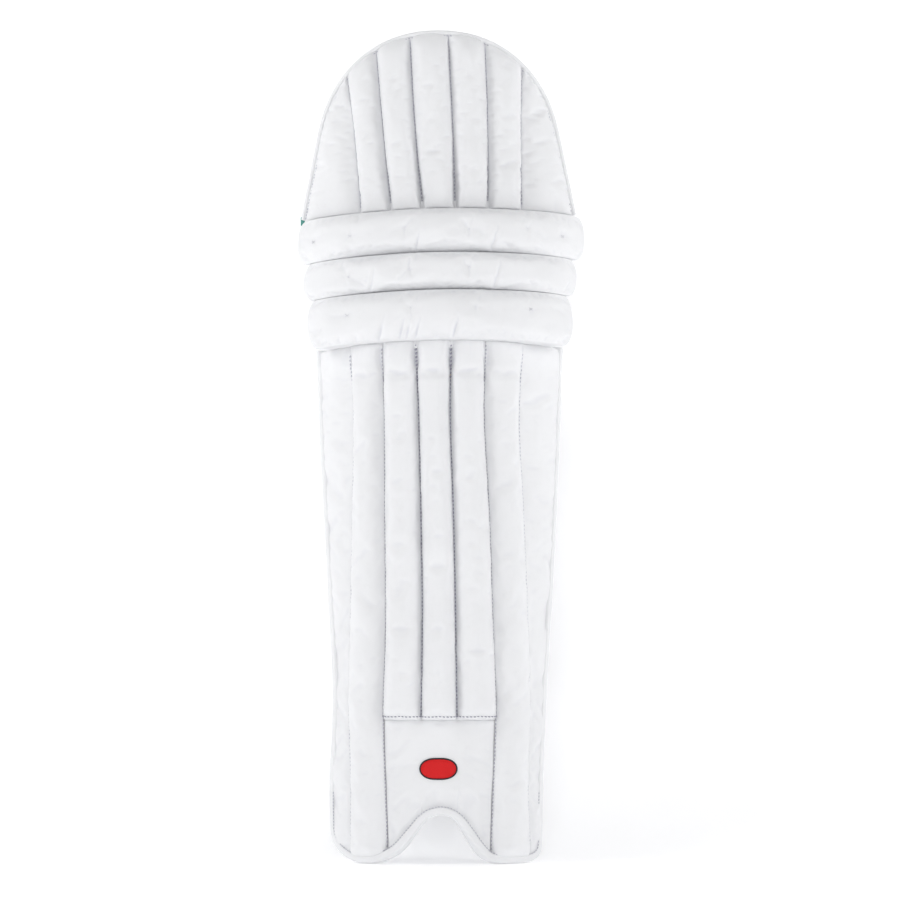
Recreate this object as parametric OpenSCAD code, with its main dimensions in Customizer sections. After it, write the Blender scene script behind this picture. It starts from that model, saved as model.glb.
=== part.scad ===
// Cricket batting leg guard for a right leg, fastened and empty.
// X is to the viewer's right, Y points back towards the leg, Z is up.
// The origin is on the axis of the wearer's shin, level with the lowest point of the two lobes.
// Angles are measured about that axis from the front (-Y), positive towards +X (the inner side).

/* [Shin guard] */
// Height of the shin section at its front, up to the lowest knee roll
shin_h = 450; // [420:1:480]
// Radius of the padded channel crowns from the leg axis
crown_r = 121; // [119:0.5:124]
// Radius of the sewn valleys between channels
valley_r = 110; // [109:0.5:111]
// Angle of the guard's rear edges at the top of the shin
edge_angle_top = 71; // [69:0.5:73]
// Angle of the guard's rear edges at the ankle
edge_angle_ankle = 54; // [53:0.5:56]

/* [Channels and instep] */
// Angle that each of the three central channels covers
centre_channel = 15.9; // [15:0.1:16.2]
// Angle that the next channel on each side covers
side_channel = 17.8; // [17:0.1:18]
// Height of the seam between the central channels and the instep panel
instep_h = 124; // [115:1:140]
// Height of the arch over the foot
arch_h = 43.5; // [38:0.5:48]
// Radius of the arch
arch_r = 20; // [17:0.5:21]
// Radius of the outer lobe's corner
outer_lobe_r = 30; // [24:0.5:31]
// Radius of the inner lobe's corner
inner_lobe_r = 16; // [12:0.5:20]
// Width of the edge binding
binding_w = 8; // [6:0.5:9]

/* [Knee rolls] */
// Backward lean of the knee section and top hat
knee_lean = 5; // [3:0.5:6]
// Height of the lowest roll
lower_roll_h = 45; // [42:0.5:48]
// Height of the middle roll
middle_roll_h = 32.5; // [30:0.5:36]
// Height of the upper roll
upper_roll_h = 38; // [35:0.5:42]

/* [Top hat] */
// Height of the top hat above the upper roll
hat_h = 158; // [145:1:170]
// Radius of the top hat's channel crowns
hat_crown_r = 167; // [165:0.5:169]
// Half-width of the crown, before its flare
hat_half_w = 89; // [84:0.5:92]
// Flare of the top hat's sides, per unit of drop
hat_flare = 0.2; // [0.15:0.01:0.22]

/* [Wing and straps] */
// Width of each strap
strap_w = 42; // [36:1:44]
// Lowest point of the calf wing
wing_z_low = 66; // [60:1:70]
// Highest point of the calf wing
wing_z_high = 436; // [430:1:438]
// Mid height of the ankle strap
ankle_strap_z = 105; // [98:1:115]
// Mid height of the calf strap
calf_strap_z = 262; // [240:1:290]
// Mid height of the strap below the knee
knee_strap_z = 405; // [400:1:408]

/* [Hidden] */
$fn = 72;
gap = 0.4;                 // clearance between neighbouring pieces
skin_t = 1.6;              // polyurethane cover
board_r = 100;             // outer radius of the shin's backing board
board_t = 6;
lining_t = 1.6;
lining_r = board_r - board_t - gap;
bolster_in_r = 67;         // inner face of the bolsters that locate the shin
bolster_out_r = lining_r - lining_t - gap;
cane_r = 3.5;
roll_front_y = -135;       // how far the knee rolls stand forward
far = 320;                 // reaches past everything

centre_edge = centre_channel * 1.5;
side_edge = centre_edge + side_channel;
panel_r = valley_r + 1.5;  // the smooth outermost panels
face_half_w = 98;          // straight sides of the lower outline, clear of the face

white = [0.93, 0.93, 0.94];
pale = [0.86, 0.87, 0.88];
foam = [0.78, 0.80, 0.82];
cane = [0.80, 0.66, 0.42];
red = [0.80, 0.07, 0.07];
teal = [0.05, 0.55, 0.50];
dark = [0.12, 0.12, 0.14];

function unit(v) = v / norm(v);
function arc(c, r, from, to, steps = 8) =
    [for (i = [0:steps]) let (a = from + (to - from) * i / steps) c + r * [cos(a), sin(a)]];
function mirrored(points) = [for (i = [len(points) - 1:-1:0]) [-points[i].x, points[i].y]];

// A ring sector about the vertical axis, with angles from the front.
module sector(r1, r2, a1, a2, z1, z2) {
    rotate([0, 0, a1 - 90]) rotate_extrude(angle = a2 - a1) translate([r1, z1]) square([r2 - r1, z2 - z1]);
}

// A 2D outline in X and Z, carried through the whole depth of the guard.
module through_depth(points) {
    rotate([90, 0, 0]) translate([0, 0, -far]) linear_extrude(2 * far) polygon(points);
}

// ---- Outline of the shin section ----

// Left half of the lower edge, from the outer corner to the top of the arch, drawn inset by i.
function half_lower_edge(corner_r, heel_r, heel_x, arch_x, i) = let (
    corner = [corner_r - face_half_w, corner_r],
    heel = [-heel_x, heel_r],
    crown = [arch_x, arch_h - arch_r],
    across = crown - heel,
    slope = atan2(across.y, across.x) + asin((heel_r + arch_r) / norm(across)))
    concat(arc(corner, corner_r - i, 180, 270), arc(heel, heel_r - i, 270, 270 + slope),
           arc(crown, arch_r + i, 90 + slope, 90));

// The front outline, inset by i along its lower edge.
function shin_outline(i) = let (top = shin_h + 60, w = face_half_w + 40)
    concat([[-w, top], [-w, 120]], half_lower_edge(outer_lobe_r, 50, 67, 2, i),
           mirrored(half_lower_edge(inner_lobe_r, 26, 57, -2, i)), [[w, 120], [w, top]]);

// The rear edge on the inner side runs along a line from the ankle to the knee.
edge_low = [valley_r * sin(edge_angle_ankle), -valley_r * cos(edge_angle_ankle), 100];
edge_high = [valley_r * sin(edge_angle_top), -valley_r * cos(edge_angle_top), shin_h];
edge_dir = unit(edge_high - edge_low);
edge_mid_angle = (edge_angle_ankle + edge_angle_top) / 2;
function edge_angle(z) = edge_angle_ankle + (edge_angle_top - edge_angle_ankle) * (z - 100) / (shin_h - 100);
edge_radial = [sin(edge_mid_angle), -cos(edge_mid_angle), 0];
edge_out = unit(cross(edge_dir, edge_radial));
edge_side = cross(edge_out, edge_dir);

// Everything behind the inner side's rear edge, starting from_edge past it.
module behind_edge(from_edge) {
    intersection() {
        multmatrix([for (r = [0:2]) [edge_out[r], edge_side[r], edge_dir[r], edge_low[r]]])
            translate([from_edge, -far, -far * 2]) cube([far, 2 * far, 4 * far]);
        rotate([0, 0, edge_angle_ankle]) translate([from_edge, -far, -far]) cube([far, 2 * far, 4 * far]);
    }
}

// Coordinates of the knee section: upright, with z from its lowest seam, leaning back about that seam.
module knee_frame() {
    translate([0, -board_r, shin_h]) rotate([-knee_lean, 0, 0]) translate([0, board_r, 0]) children();
}

// The space of the shin section, inset by i along its bound edges.
module shin_space(i = 0) {
    difference() {
        through_depth(shin_outline(i));
        behind_edge(-i);
        mirror([1, 0, 0]) behind_edge(-i);
        knee_frame() translate([-far, -far, -gap]) cube(2 * far);
    }
}

// ---- Channels ----

// One channel's section between two sewn valleys, thinned by i, from radius r_in out.
module channel(a1, a2, r_valley, r_crown, r_in, z1, z2, i = 0, a_gap = 0) {
    half = (a2 - a1) / 2;
    chord_half = r_valley * sin(half);
    bulge = r_crown - r_valley * cos(half);
    r = (chord_half * chord_half + bulge * bulge) / (2 * bulge);
    intersection() {
        rotate([0, 0, a1 + half]) translate([0, r - r_crown, z1]) cylinder(r = r - i, h = z2 - z1);
        sector(r_in, r_crown + 5, a1 + a_gap, a2 - a_gap, z1 - 1, z2 + 1);
    }
}

// The cover of one channel, open towards the board behind it.
module channel_skin(a1, a2, r_valley, r_crown, r_in, z1, z2) {
    difference() {
        channel(a1, a2, r_valley, r_crown, r_in, z1, z2);
        channel(a1, a2, r_valley, r_crown, r_in - 1, z1 - 1, z2 + 1, skin_t);
    }
}

// ---- Shin section ----

module shin_board() {
    color(foam) intersection() {
        sector(board_r - board_t, board_r, -80, 80, 0, shin_h + 20);
        shin_space(binding_w + gap);
    }
}

module shin_lining() {
    color(pale) intersection() {
        sector(lining_r - lining_t, lining_r, -80, 80, 0, shin_h + 20);
        shin_space(binding_w + gap);
    }
}

module shin_face_centre() {
    color(white) intersection() {
        union() for (i = [-1:1])
            channel_skin((i - 0.5) * centre_channel, (i + 0.5) * centre_channel, valley_r, crown_r,
                         board_r + gap, instep_h + gap, shin_h + 20);
        shin_space(binding_w + gap);
    }
}

// The channel and the smooth panel of one side: 0 is the inner side, 1 the outer.
module side_face(side) {
    color(white) intersection() {
        mirror([side, 0, 0]) union() {
            channel_skin(centre_edge + gap / 2, side_edge, valley_r, crown_r, board_r + gap, 0, shin_h + 20);
            sector(panel_r - skin_t, panel_r, side_edge, 80, 0, shin_h + 20);
        }
        shin_space(binding_w + gap);
    }
}

module shin_face_inner() { side_face(0); }
module shin_face_outer() { side_face(1); }

module instep_panel() {
    color(white) intersection() {
        sector(valley_r - skin_t, valley_r, -centre_edge + 0.4, centre_edge - 0.4, 0, instep_h - gap);
        shin_space(binding_w + gap);
    }
}

module instep_foam() {
    color(foam) intersection() {
        sector(board_r + gap, valley_r - skin_t - gap, -centre_edge + 0.4, centre_edge - 0.4,
               0, instep_h - 1);
        shin_space(binding_w + gap);
    }
}

// A plain oval patch on the instep panel.
module badge() {
    half_w = 17;
    r = 9.5;
    color(red) intersection() {
        sector(valley_r + gap / 2, valley_r + 1.2, -15, 15, 60, 110);
        rotate([90, 0, 0]) translate([0, 83, 0]) linear_extrude(far) {
            for (s = [-1, 1]) translate([s * (half_w - r), 0]) circle(r);
            square([2 * (half_w - r), 2 * r], center = true);
        }
    }
}

module shin_canes() {
    pitch = 4.4;
    color(cane) for (channel_i = [-1:1], cane_i = [-1:1])
        rotate([0, 0, channel_i * centre_channel + cane_i * pitch])
            translate([0, -(board_r + gap + cane_r + 0.2), instep_h + 6])
                cylinder(r = cane_r, h = shin_h - instep_h - 14);
}

module centre_foam_bars() {
    color(foam) for (i = [-1:1])
        channel((i - 0.5) * centre_channel, (i + 0.5) * centre_channel, valley_r, crown_r,
                board_r + 2 * cane_r + 1.2, instep_h + 4, shin_h - 4, skin_t + gap, 1);
}

module side_foam_bars() {
    color(foam) for (side = [0, 1]) intersection() {
        mirror([side, 0, 0]) union() {
            channel(centre_edge, side_edge, valley_r, crown_r, board_r + gap,
                    10, shin_h - 4, skin_t + gap, 1);
            sector(board_r + gap, panel_r - skin_t - gap, side_edge + 0.8, 80, 10, shin_h - 4);
        }
        shin_space(binding_w + 2);
    }
}

// A padded upright that locates the shin, on the inner side.
module shin_bolster() {
    puff_r = 33;
    intersection() {
        rotate([0, 0, 30]) translate([0, -bolster_in_r - puff_r, 56]) cylinder(r = puff_r, h = shin_h - 80);
        cylinder(r = bolster_out_r, h = shin_h);
    }
}

module shin_bolster_inner() { color(pale) shin_bolster(); }
module shin_bolster_outer() { color(pale) mirror([1, 0, 0]) shin_bolster(); }

// The corded seam that the calf wing turns on, along the outer rear edge.
// It lies flat against the edge, further in at the knee, where the calf is thicker.
function cord_depth(z) = 20 + 6 * (z - 100) / (shin_h - 100);
function cord_point(z) = let (
    p = edge_low + edge_dir * (z - 100) / edge_dir.z - edge_radial * cord_depth(z) + edge_out * 1.75)
    [-p.x, p.y, p.z];

module wing_hinge_cord() {
    low = cord_point(100);
    run = cord_point(430) - low;
    color(teal) translate(low)
        rotate([0, acos(run.z / norm(run)), atan2(run.y, run.x)]) cylinder(r = 1.35, h = norm(run));
}

// The ring that every binding of the shin section is cut from.
module binding_ring() { sector(lining_r - lining_t, panel_r + 2, -80, 80, -1, shin_h + 20); }

module foot_binding() {
    color(white) difference() {
        binding_ring();
        difference() {
            translate([-far, -far, -far]) cube(2 * far);
            through_depth(shin_outline(0));
        }
        through_depth(shin_outline(binding_w));
        behind_edge(-binding_w - gap);
        mirror([1, 0, 0]) behind_edge(-binding_w - gap);
    }
}

module side_bindings() {
    color(white) for (s = [0, 1]) mirror([s, 0, 0]) difference() {
        intersection() {
            binding_ring();
            behind_edge(-binding_w);
        }
        behind_edge(0);
        corner_cut(s == 0 ? inner_lobe_r : outer_lobe_r);
        knee_frame() translate([-far, -far, -gap]) cube(2 * far);
    }
}

// Rounds the lower outer corner of a side binding.
module corner_cut(r) {
    rotate([90, 0, 0]) translate([0, 0, -far]) linear_extrude(2 * far) difference() {
        translate([face_half_w - r, -far]) square([far, far + r]);
        translate([face_half_w - r, r]) circle(r);
    }
    translate([0, -far, -far]) cube([face_half_w - r + 0.01, 2 * far, far]);
}

// ---- Knee rolls ----

// Each roll is [base height, height, half-angle], in the knee frame.
rolls = [[0, lower_roll_h, 58], [lower_roll_h, middle_roll_h, 58.5],
         [lower_roll_h + middle_roll_h, upper_roll_h, 59.5]];
roll_axis_y = [0, 3, 8];
rolls_h = lower_roll_h + middle_roll_h + upper_roll_h;

// A roll's section bent round the knee; shrink takes material off all round.
module roll_body(n, shrink, r_from, trim_angle) {
    roll = rolls[n];
    h = roll[1] - 2 * gap - 2 * shrink;
    nose_r = h / 2;
    nose_at = roll_axis_y[n] - roll_front_y - shrink - nose_r;
    a = roll[2] - trim_angle;
    translate([0, roll_axis_y[n], roll[0] + roll[1] / 2])
        rotate([0, 0, -a - 90]) rotate_extrude(angle = 2 * a) intersection() {
            union() {
                translate([nose_at, 0]) circle(nose_r);
                translate([r_from, -h / 2]) square([nose_at - r_from, h]);
            }
            translate([r_from, -far]) square([far, 2 * far]);
        }
}

function roll_board_r(n) = board_r + roll_axis_y[n];

module roll_cover(n) {
    color(white) knee_frame() difference() {
        roll_body(n, 0, roll_board_r(n) + gap, 0);
        roll_body(n, skin_t, roll_board_r(n) - 1, 0.9);
    }
}

module roll_foam(n) {
    color(foam) knee_frame() roll_body(n, skin_t + gap, roll_board_r(n) + 9, 1.3);
}

module roll_canes(n) {
    roll = rolls[n];
    a = roll[2] - 3;
    color(cane) knee_frame() for (i = [-1:1])
        translate([0, roll_axis_y[n], roll[0] + roll[1] / 2 + i * roll[1] * 0.27])
            rotate([0, 0, -a - 90]) rotate_extrude(angle = 2 * a)
                translate([roll_board_r(n) + 4.6, 0]) circle(3);
}

module roll_board(n) {
    roll = rolls[n];
    color(foam) knee_frame() translate([0, roll_axis_y[n], 0])
        sector(roll_board_r(n) - board_t, roll_board_r(n), -roll[2] + 1, roll[2] - 1,
               roll[0] + gap, roll[0] + roll[1] - gap);
}

// The padded bar behind a roll that locates the knee.
module knee_bolster(n) {
    roll = rolls[n];
    nose_r = (roll[1] - 5) / 2;
    r_back = roll_board_r(n) - board_t - gap;
    r_in = r_back - 19.5;
    a = 44;
    color(pale) knee_frame() translate([0, roll_axis_y[n], roll[0] + roll[1] / 2])
        rotate([0, 0, -a - 90]) rotate_extrude(angle = 2 * a) intersection() {
            union() {
                translate([r_in + nose_r, 0]) circle(nose_r);
                translate([r_in + nose_r, -nose_r]) square([20, 2 * nose_r]);
            }
            translate([r_in - 1, -far]) square([r_back - r_in + 1, 2 * far]);
        }
}

// ---- Top hat ----

hat_axis_y = 45;
hat_valley_r = 157;
hat_board_r = 152;
hat_seams = [5.4, 15.9, 28.2];
hat_edge_angle = 51;
hat_bevel = 85;            // depth of the crown's rounded part
hat_power = 2.3;           // squareness of the crown

// Half of the hat's outline, from the crown down to its base, inset by i, in the knee frame.
function half_hat(i) = concat(
    [for (t = [0:6:90]) let (drop = hat_bevel * (1 - pow(cos(t), 2 / hat_power)))
        [(hat_half_w - i) * pow(sin(t), 2 / hat_power) + hat_flare * drop, rolls_h + hat_h - i - drop]],
    [[hat_half_w - i + hat_flare * hat_h, rolls_h + 0.5]]);

module hat_space(i) { through_depth(concat(half_hat(i), mirrored(half_hat(i)))); }

module hat_layer(r1, r2, i) {
    knee_frame() intersection() {
        translate([0, hat_axis_y, 0]) sector(r1, r2, -62, 62, rolls_h, rolls_h + hat_h);
        hat_space(i);
    }
}

// The valleys between the seven channels, with the two outer edges.
function hat_angles() = [-hat_edge_angle, -hat_seams[2], -hat_seams[1], -hat_seams[0],
                         hat_seams[0], hat_seams[1], hat_seams[2], hat_edge_angle];

module hat_cover() {
    angles = hat_angles();
    color(white) knee_frame() intersection() {
        translate([0, hat_axis_y, 0]) union() for (i = [0:6])
            channel_skin(angles[i], angles[i + 1], hat_valley_r, hat_crown_r, hat_board_r + gap,
                         rolls_h, rolls_h + hat_h);
        hat_space(6 + gap);
    }
}

module hat_foam_bars() {
    angles = hat_angles();
    color(foam) knee_frame() intersection() {
        translate([0, hat_axis_y, 0]) union() for (i = [0:6])
            channel(angles[i], angles[i + 1], hat_valley_r, hat_crown_r, hat_board_r + gap,
                    rolls_h + 3, rolls_h + hat_h, skin_t + gap, 0.8);
        hat_space(8);
    }
}

hat_lining_r = hat_board_r - board_t - gap;
module hat_board() { color(foam) hat_layer(hat_board_r - board_t, hat_board_r, 6 + gap); }
module hat_lining() { color(pale) hat_layer(hat_lining_r - lining_t, hat_lining_r, 6 + gap); }

module hat_binding() {
    color(white) knee_frame() difference() {
        intersection() {
            translate([0, hat_axis_y, 0])
                sector(hat_lining_r - lining_t, hat_valley_r + 4, -62, 62, rolls_h, rolls_h + hat_h + 1);
            hat_space(0);
        }
        hat_space(6);
    }
}

// A small folded webbing tag on the back of the outer lower corner.
module corner_tag() {
    color(teal) knee_frame() translate([0, hat_axis_y, 0])
        sector(hat_lining_r - lining_t - 2.4, hat_lining_r - lining_t - gap, -58.5, -50,
               rolls_h + 0.6, rolls_h + 13);
}

// ---- Calf wing, hinged on the outer edge ----

wrap_y = -22;              // axis of the wrap round the calf
wing_in_r = 77;
wing_out_r = 86;
wing_rear_y = 42;
wing_corner_r = 40;

// The wing's extent on the inner side's mirror image, inset by i.
module wing_space(i = 0) {
    y2 = wing_rear_y - i;
    r = wing_corner_r - i;
    low = wing_z_low + i;
    high = wing_z_high - i;
    side = concat([[-far, low]], arc([y2 - r, low + r], r, -90, 0), arc([y2 - r, high - r], r, 0, 90),
                  [[-far, high]]);
    intersection() {
        rotate([90, 0, 90]) linear_extrude(far) polygon(side);
        behind_edge(3.5 + i);
    }
}

module wing_layer(r1, r2, i) {
    mirror([1, 0, 0]) intersection() {
        translate([0, wrap_y, 0]) sector(r1, r2, 45, 150, 0, shin_h);
        wing_space(i);
    }
}

module wing_cover() { color(white) wing_layer(wing_out_r - skin_t, wing_out_r, 6 + gap); }
module wing_foam() { color(foam) wing_layer(wing_in_r + lining_t + gap, wing_out_r - skin_t - gap, 6 + gap); }
module wing_lining() { color(pale) wing_layer(wing_in_r, wing_in_r + lining_t, 6 + gap); }

module wing_binding() {
    color(white) difference() {
        wing_layer(wing_in_r, wing_out_r, 0);
        mirror([1, 0, 0]) wing_space(6);
    }
}

// ---- Straps ----

strap_zs = [ankle_strap_z, calf_strap_z, knee_strap_z];
loop_r = wing_out_r + 0.3;
hook_r = loop_r + 1.2 + 0.3;
strap_r = hook_r + 1.2 + 0.3;
strap_t = 2.2;
tab_from = 227;            // where the peeling tab starts
tab_to = 265;

module wrap_sector(r1, r2, a1, a2, n, w) {
    translate([0, wrap_y, 0]) sector(r1, r2, a1, a2, strap_zs[n] - w / 2, strap_zs[n] + w / 2);
}

// Where strap n leaves its anchor, about the wrap axis: just behind the guard's rear edge.
function strap_from(n) = let (
    a = edge_angle(strap_zs[n] + strap_w / 2),
    r = sqrt(pow(strap_r + strap_t, 2) - pow(wrap_y * sin(a), 2)) - wrap_y * cos(a))
    atan2(r * sin(a), r * cos(a) + wrap_y) + 4;

module strap_anchors() {
    color(white) for (n = [0:2]) intersection() {
        wrap_sector(strap_r, strap_r + strap_t, strap_from(n) - 15, strap_from(n) - 0.4, n, strap_w);
        behind_edge(gap);
    }
}

module loop_patches() {
    color(dark) for (n = [0:2]) wrap_sector(loop_r, loop_r + 1.2, tab_from + 3, tab_to - 2, n, strap_w + 6);
}

module strap_band(n) {
    color(white) wrap_sector(strap_r, strap_r + strap_t, strap_from(n) + 0.4, tab_from - 0.4, n, strap_w);
}

module strap_pad(n) {
    color(pale) wrap_sector(strap_r - 7, strap_r - gap, 148, 212, n, strap_w + 8);
}

module strap_tab(n) {
    color(white) wrap_sector(strap_r, strap_r + strap_t, tab_from + 0.4, tab_to, n, strap_w);
}

module hook_patch(n) {
    color(dark) wrap_sector(hook_r, hook_r + 1.2, tab_from + 3, tab_to - 2, n, strap_w - 4);
}

shin_board();
shin_lining();
shin_face_centre();
shin_face_outer();
shin_face_inner();
instep_panel();
instep_foam();
badge();
shin_canes();
centre_foam_bars();
side_foam_bars();
shin_bolster_outer();
shin_bolster_inner();
foot_binding();
side_bindings();
wing_hinge_cord();
strap_anchors();
roll_cover(0);  // lower_roll_cover
roll_foam(0);  // lower_roll_foam
roll_canes(0);  // lower_roll_canes
roll_board(0);  // lower_roll_board
knee_bolster(0);  // lower_knee_bolster
roll_cover(1);  // middle_roll_cover
roll_foam(1);  // middle_roll_foam
roll_canes(1);  // middle_roll_canes
roll_board(1);  // middle_roll_board
knee_bolster(1);  // middle_knee_bolster
roll_cover(2);  // upper_roll_cover
roll_foam(2);  // upper_roll_foam
roll_canes(2);  // upper_roll_canes
roll_board(2);  // upper_roll_board
knee_bolster(2);  // upper_knee_bolster
hat_cover();
hat_foam_bars();
hat_board();
hat_lining();
hat_binding();
corner_tag();
wing_cover();
wing_foam();
wing_lining();
wing_binding();
loop_patches();
strap_band(0);  // ankle_strap_band
strap_pad(0);  // ankle_strap_pad
strap_tab(0);  // ankle_strap_tab
hook_patch(0);  // ankle_hook_patch
strap_band(1);  // calf_strap_band
strap_pad(1);  // calf_strap_pad
strap_tab(1);  // calf_strap_tab
hook_patch(1);  // calf_hook_patch
strap_band(2);  // knee_strap_band
strap_pad(2);  // knee_strap_pad
strap_tab(2);  // knee_strap_tab
hook_patch(2);  // knee_hook_patch
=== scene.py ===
import math

import bmesh
import bpy
import numpy as np
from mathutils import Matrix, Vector
from mathutils.kdtree import KDTree


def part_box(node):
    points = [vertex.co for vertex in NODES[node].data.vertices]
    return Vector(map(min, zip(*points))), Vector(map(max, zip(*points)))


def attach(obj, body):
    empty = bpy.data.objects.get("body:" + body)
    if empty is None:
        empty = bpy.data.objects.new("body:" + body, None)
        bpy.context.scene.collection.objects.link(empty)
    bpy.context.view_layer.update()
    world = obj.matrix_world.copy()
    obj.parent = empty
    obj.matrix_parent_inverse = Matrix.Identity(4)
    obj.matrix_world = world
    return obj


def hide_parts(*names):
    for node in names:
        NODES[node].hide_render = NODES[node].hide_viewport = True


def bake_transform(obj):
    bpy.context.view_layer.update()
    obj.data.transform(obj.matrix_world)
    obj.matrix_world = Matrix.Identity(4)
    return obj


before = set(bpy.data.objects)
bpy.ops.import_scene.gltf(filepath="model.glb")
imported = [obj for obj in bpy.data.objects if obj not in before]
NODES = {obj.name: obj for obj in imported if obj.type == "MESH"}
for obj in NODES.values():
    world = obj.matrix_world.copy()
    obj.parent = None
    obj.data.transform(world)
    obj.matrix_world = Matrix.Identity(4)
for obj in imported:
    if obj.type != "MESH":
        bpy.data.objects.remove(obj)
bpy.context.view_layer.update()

# All shape functions work in millimetres, in the CAD frame. Objects are made in metres.
MM = 0.001


def box_mm(node):
    low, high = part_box(node)
    return np.array(low) / MM, np.array(high) / MM


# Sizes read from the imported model.
VALLEY_R = -box_mm("instep_panel")[0][1]
LINING_R = -box_mm("shin_lining")[0][1]
BOARD_R = -box_mm("shin_board")[0][1]
SHIN_TOP = box_mm("shin_bolster_inner")[1][2] + 24
INSTEP_Z = box_mm("shin_face_centre")[0][2]
LEAN = math.radians(5)
ROLL_BASE = [0, 45, 77.5]
ROLL_HEIGHT = [45, 32.5, 38]
ROLL_HALF_ANGLE = [58, 58.5, 59.5]
ROLL_AXIS_Y = [0, 3, 8]
ROLL_REACH = [4.0, 4.6, 5.6]
ROLLS_H = 115.5
ROLL_FRONT = 135
HAT_AXIS_Y = 45
HAT_R = 157
WRAP_Y = -22
STRAP_T = 2.2
STRAP_OUT_R = box_mm("calf_strap_band")[1][1] - WRAP_Y
STRAP_R = STRAP_OUT_R - STRAP_T
WING_OUT_R = STRAP_R - 3.3
WING_IN_R = 77
WING_MID_R = (WING_IN_R + WING_OUT_R) / 2
STRAP_W = 42
STRAPS = {"ankle": 105, "calf": 262, "knee": 405}
TAB_FROM = 227
TAB_TO = 265


# ---- Small mathematical helpers ----

def smooth_step(x, low, high):
    t = np.clip((x - low) / (high - low), 0, 1)
    return t * t * (3 - 2 * t)


def curve(x, xs, ys):
    """A smooth curve through a few points."""
    xs, ys = np.array(xs, float), np.array(ys, float)
    slopes = np.gradient(ys, xs)
    x = np.clip(np.asarray(x, float), xs[0], xs[-1])
    i = np.clip(np.searchsorted(xs, x) - 1, 0, len(xs) - 2)
    h = xs[i + 1] - xs[i]
    t = (x - xs[i]) / h
    return ((2 * t**3 - 3 * t**2 + 1) * ys[i] + (t**3 - 2 * t**2 + t) * h * slopes[i]
            + (3 * t**2 - 2 * t**3) * ys[i + 1] + (t**3 - t**2) * h * slopes[i + 1])


def ripples(seed, wavelength, count=14):
    """A repeatable field of soft random waves over two coordinates in mm, about -1 to 1."""
    rng = np.random.default_rng(seed)
    angle = rng.uniform(0, 2 * np.pi, count)
    number = 2 * np.pi / (wavelength * rng.uniform(0.6, 1.7, count))
    phase = rng.uniform(0, 2 * np.pi, count)

    def field(a, b):
        total = 0
        for n in range(count):
            total = total + np.sin(number[n] * (np.cos(angle[n]) * a + np.sin(angle[n]) * b) + phase[n])
        return total / math.sqrt(count)

    return field


def ring(angle_deg, r, z, axis_y=0.0):
    """A point at an angle from the front, at radius r about the vertical axis."""
    a = np.radians(angle_deg)
    return np.stack(np.broadcast_arrays(r * np.sin(a), axis_y - r * np.cos(a), z), -1)


def seam_bow(x, z=0.0):
    """The seams across the knee rise in the middle and towards the inner side, the lowest one most of all."""
    u = np.asarray(x) / 110
    lowest = 4.5 + 1.75 * u - 2.75 * u * u
    others = 0.8 + 2.4 * u - 2.4 * u * u
    bow = lowest + (others - lowest) * smooth_step(z, 0, ROLL_BASE[1])
    return bow * (1 - smooth_step(z, ROLLS_H, ROLLS_H + 90))


def knee(points):
    """Points of the upright knee section, leaned back about its lower front edge."""
    p = np.asarray(points, float)
    y = p[..., 1] + BOARD_R
    z = p[..., 2] + seam_bow(p[..., 0], p[..., 2])
    return np.stack([p[..., 0], -BOARD_R + y * math.cos(LEAN) + z * math.sin(LEAN),
                     SHIN_TOP - y * math.sin(LEAN) + z * math.cos(LEAN)], -1)


def shin_top_z(angle_deg, r):
    """Height of the leaning seam between the shin and the lowest roll."""
    a = np.radians(angle_deg)
    return SHIN_TOP - 0.5 - (BOARD_R - r * np.cos(a)) * math.tan(LEAN) + seam_bow(r * np.sin(a))


def cosine_steps(n):
    """Numbers from 0 to 1 that lie closer together near both ends."""
    return (1 - np.cos(np.linspace(0, np.pi, n + 1))) / 2


def round_off(distance, reach):
    """A quarter circle: 0 at an edge, 1 from the given reach on."""
    return np.sqrt(np.clip(1 - (1 - np.clip(distance / reach, 0, 1)) ** 2, 0, 1))


def border(shape):
    """A mask of the outermost points of a grid."""
    mask = np.zeros(shape, bool)
    mask[0] = mask[-1] = mask[:, 0] = mask[:, -1] = True
    return mask


def unit(v):
    return v / np.maximum(np.linalg.norm(v, axis=-1, keepdims=True), 1e-9)


# ---- Mesh building ----

def grid_faces(rows, cols, first=0):
    i = np.arange((rows - 1) * (cols - 1))
    a = first + (i // (cols - 1)) * cols + i % (cols - 1)
    return np.stack([a, a + 1, a + cols + 1, a + cols], 1)


def add_object(name, data):
    obj = bpy.data.objects.new(name, data)
    bpy.context.scene.collection.objects.link(obj)
    return obj


def make_object(name, verts_mm, faces, material, cloth_mm=None, sharp=55, smooth=False):
    """A mesh object in metres. cloth_mm is each point's place on the flat cloth, for weaves."""
    mesh = bpy.data.meshes.new(name)
    mesh.from_pydata((np.asarray(verts_mm) * MM).tolist(), [], [list(map(int, f)) for f in faces])
    if cloth_mm is not None:
        flat = np.zeros((len(verts_mm), 3), np.float32)
        flat[:, :2] = cloth_mm
        mesh.attributes.new("cloth_mm", "FLOAT_VECTOR", "POINT").data.foreach_set("vector", flat.ravel())
    bm = bmesh.new()
    bm.from_mesh(mesh)
    bmesh.ops.remove_doubles(bm, verts=bm.verts, dist=2e-6)
    bmesh.ops.dissolve_degenerate(bm, edges=bm.edges, dist=1e-6)
    bmesh.ops.recalc_face_normals(bm, faces=bm.faces)
    bm.to_mesh(mesh)
    bm.free()
    mesh.polygons.foreach_set("use_smooth", [True] * len(mesh.polygons))
    mesh.set_sharp_from_angle(angle=math.radians(sharp))
    obj = add_object(name, mesh)
    obj.data.materials.append(material)
    if smooth:
        mod = obj.modifiers.new("Subdivision", "SUBSURF")
        mod.levels = 1
        mod.render_levels = 1
    return obj


def slot_of(material):
    """The record's slot that a material is for. Blender numbers a name that the CAD model has taken."""
    return material.name.split(".")[0]


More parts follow.
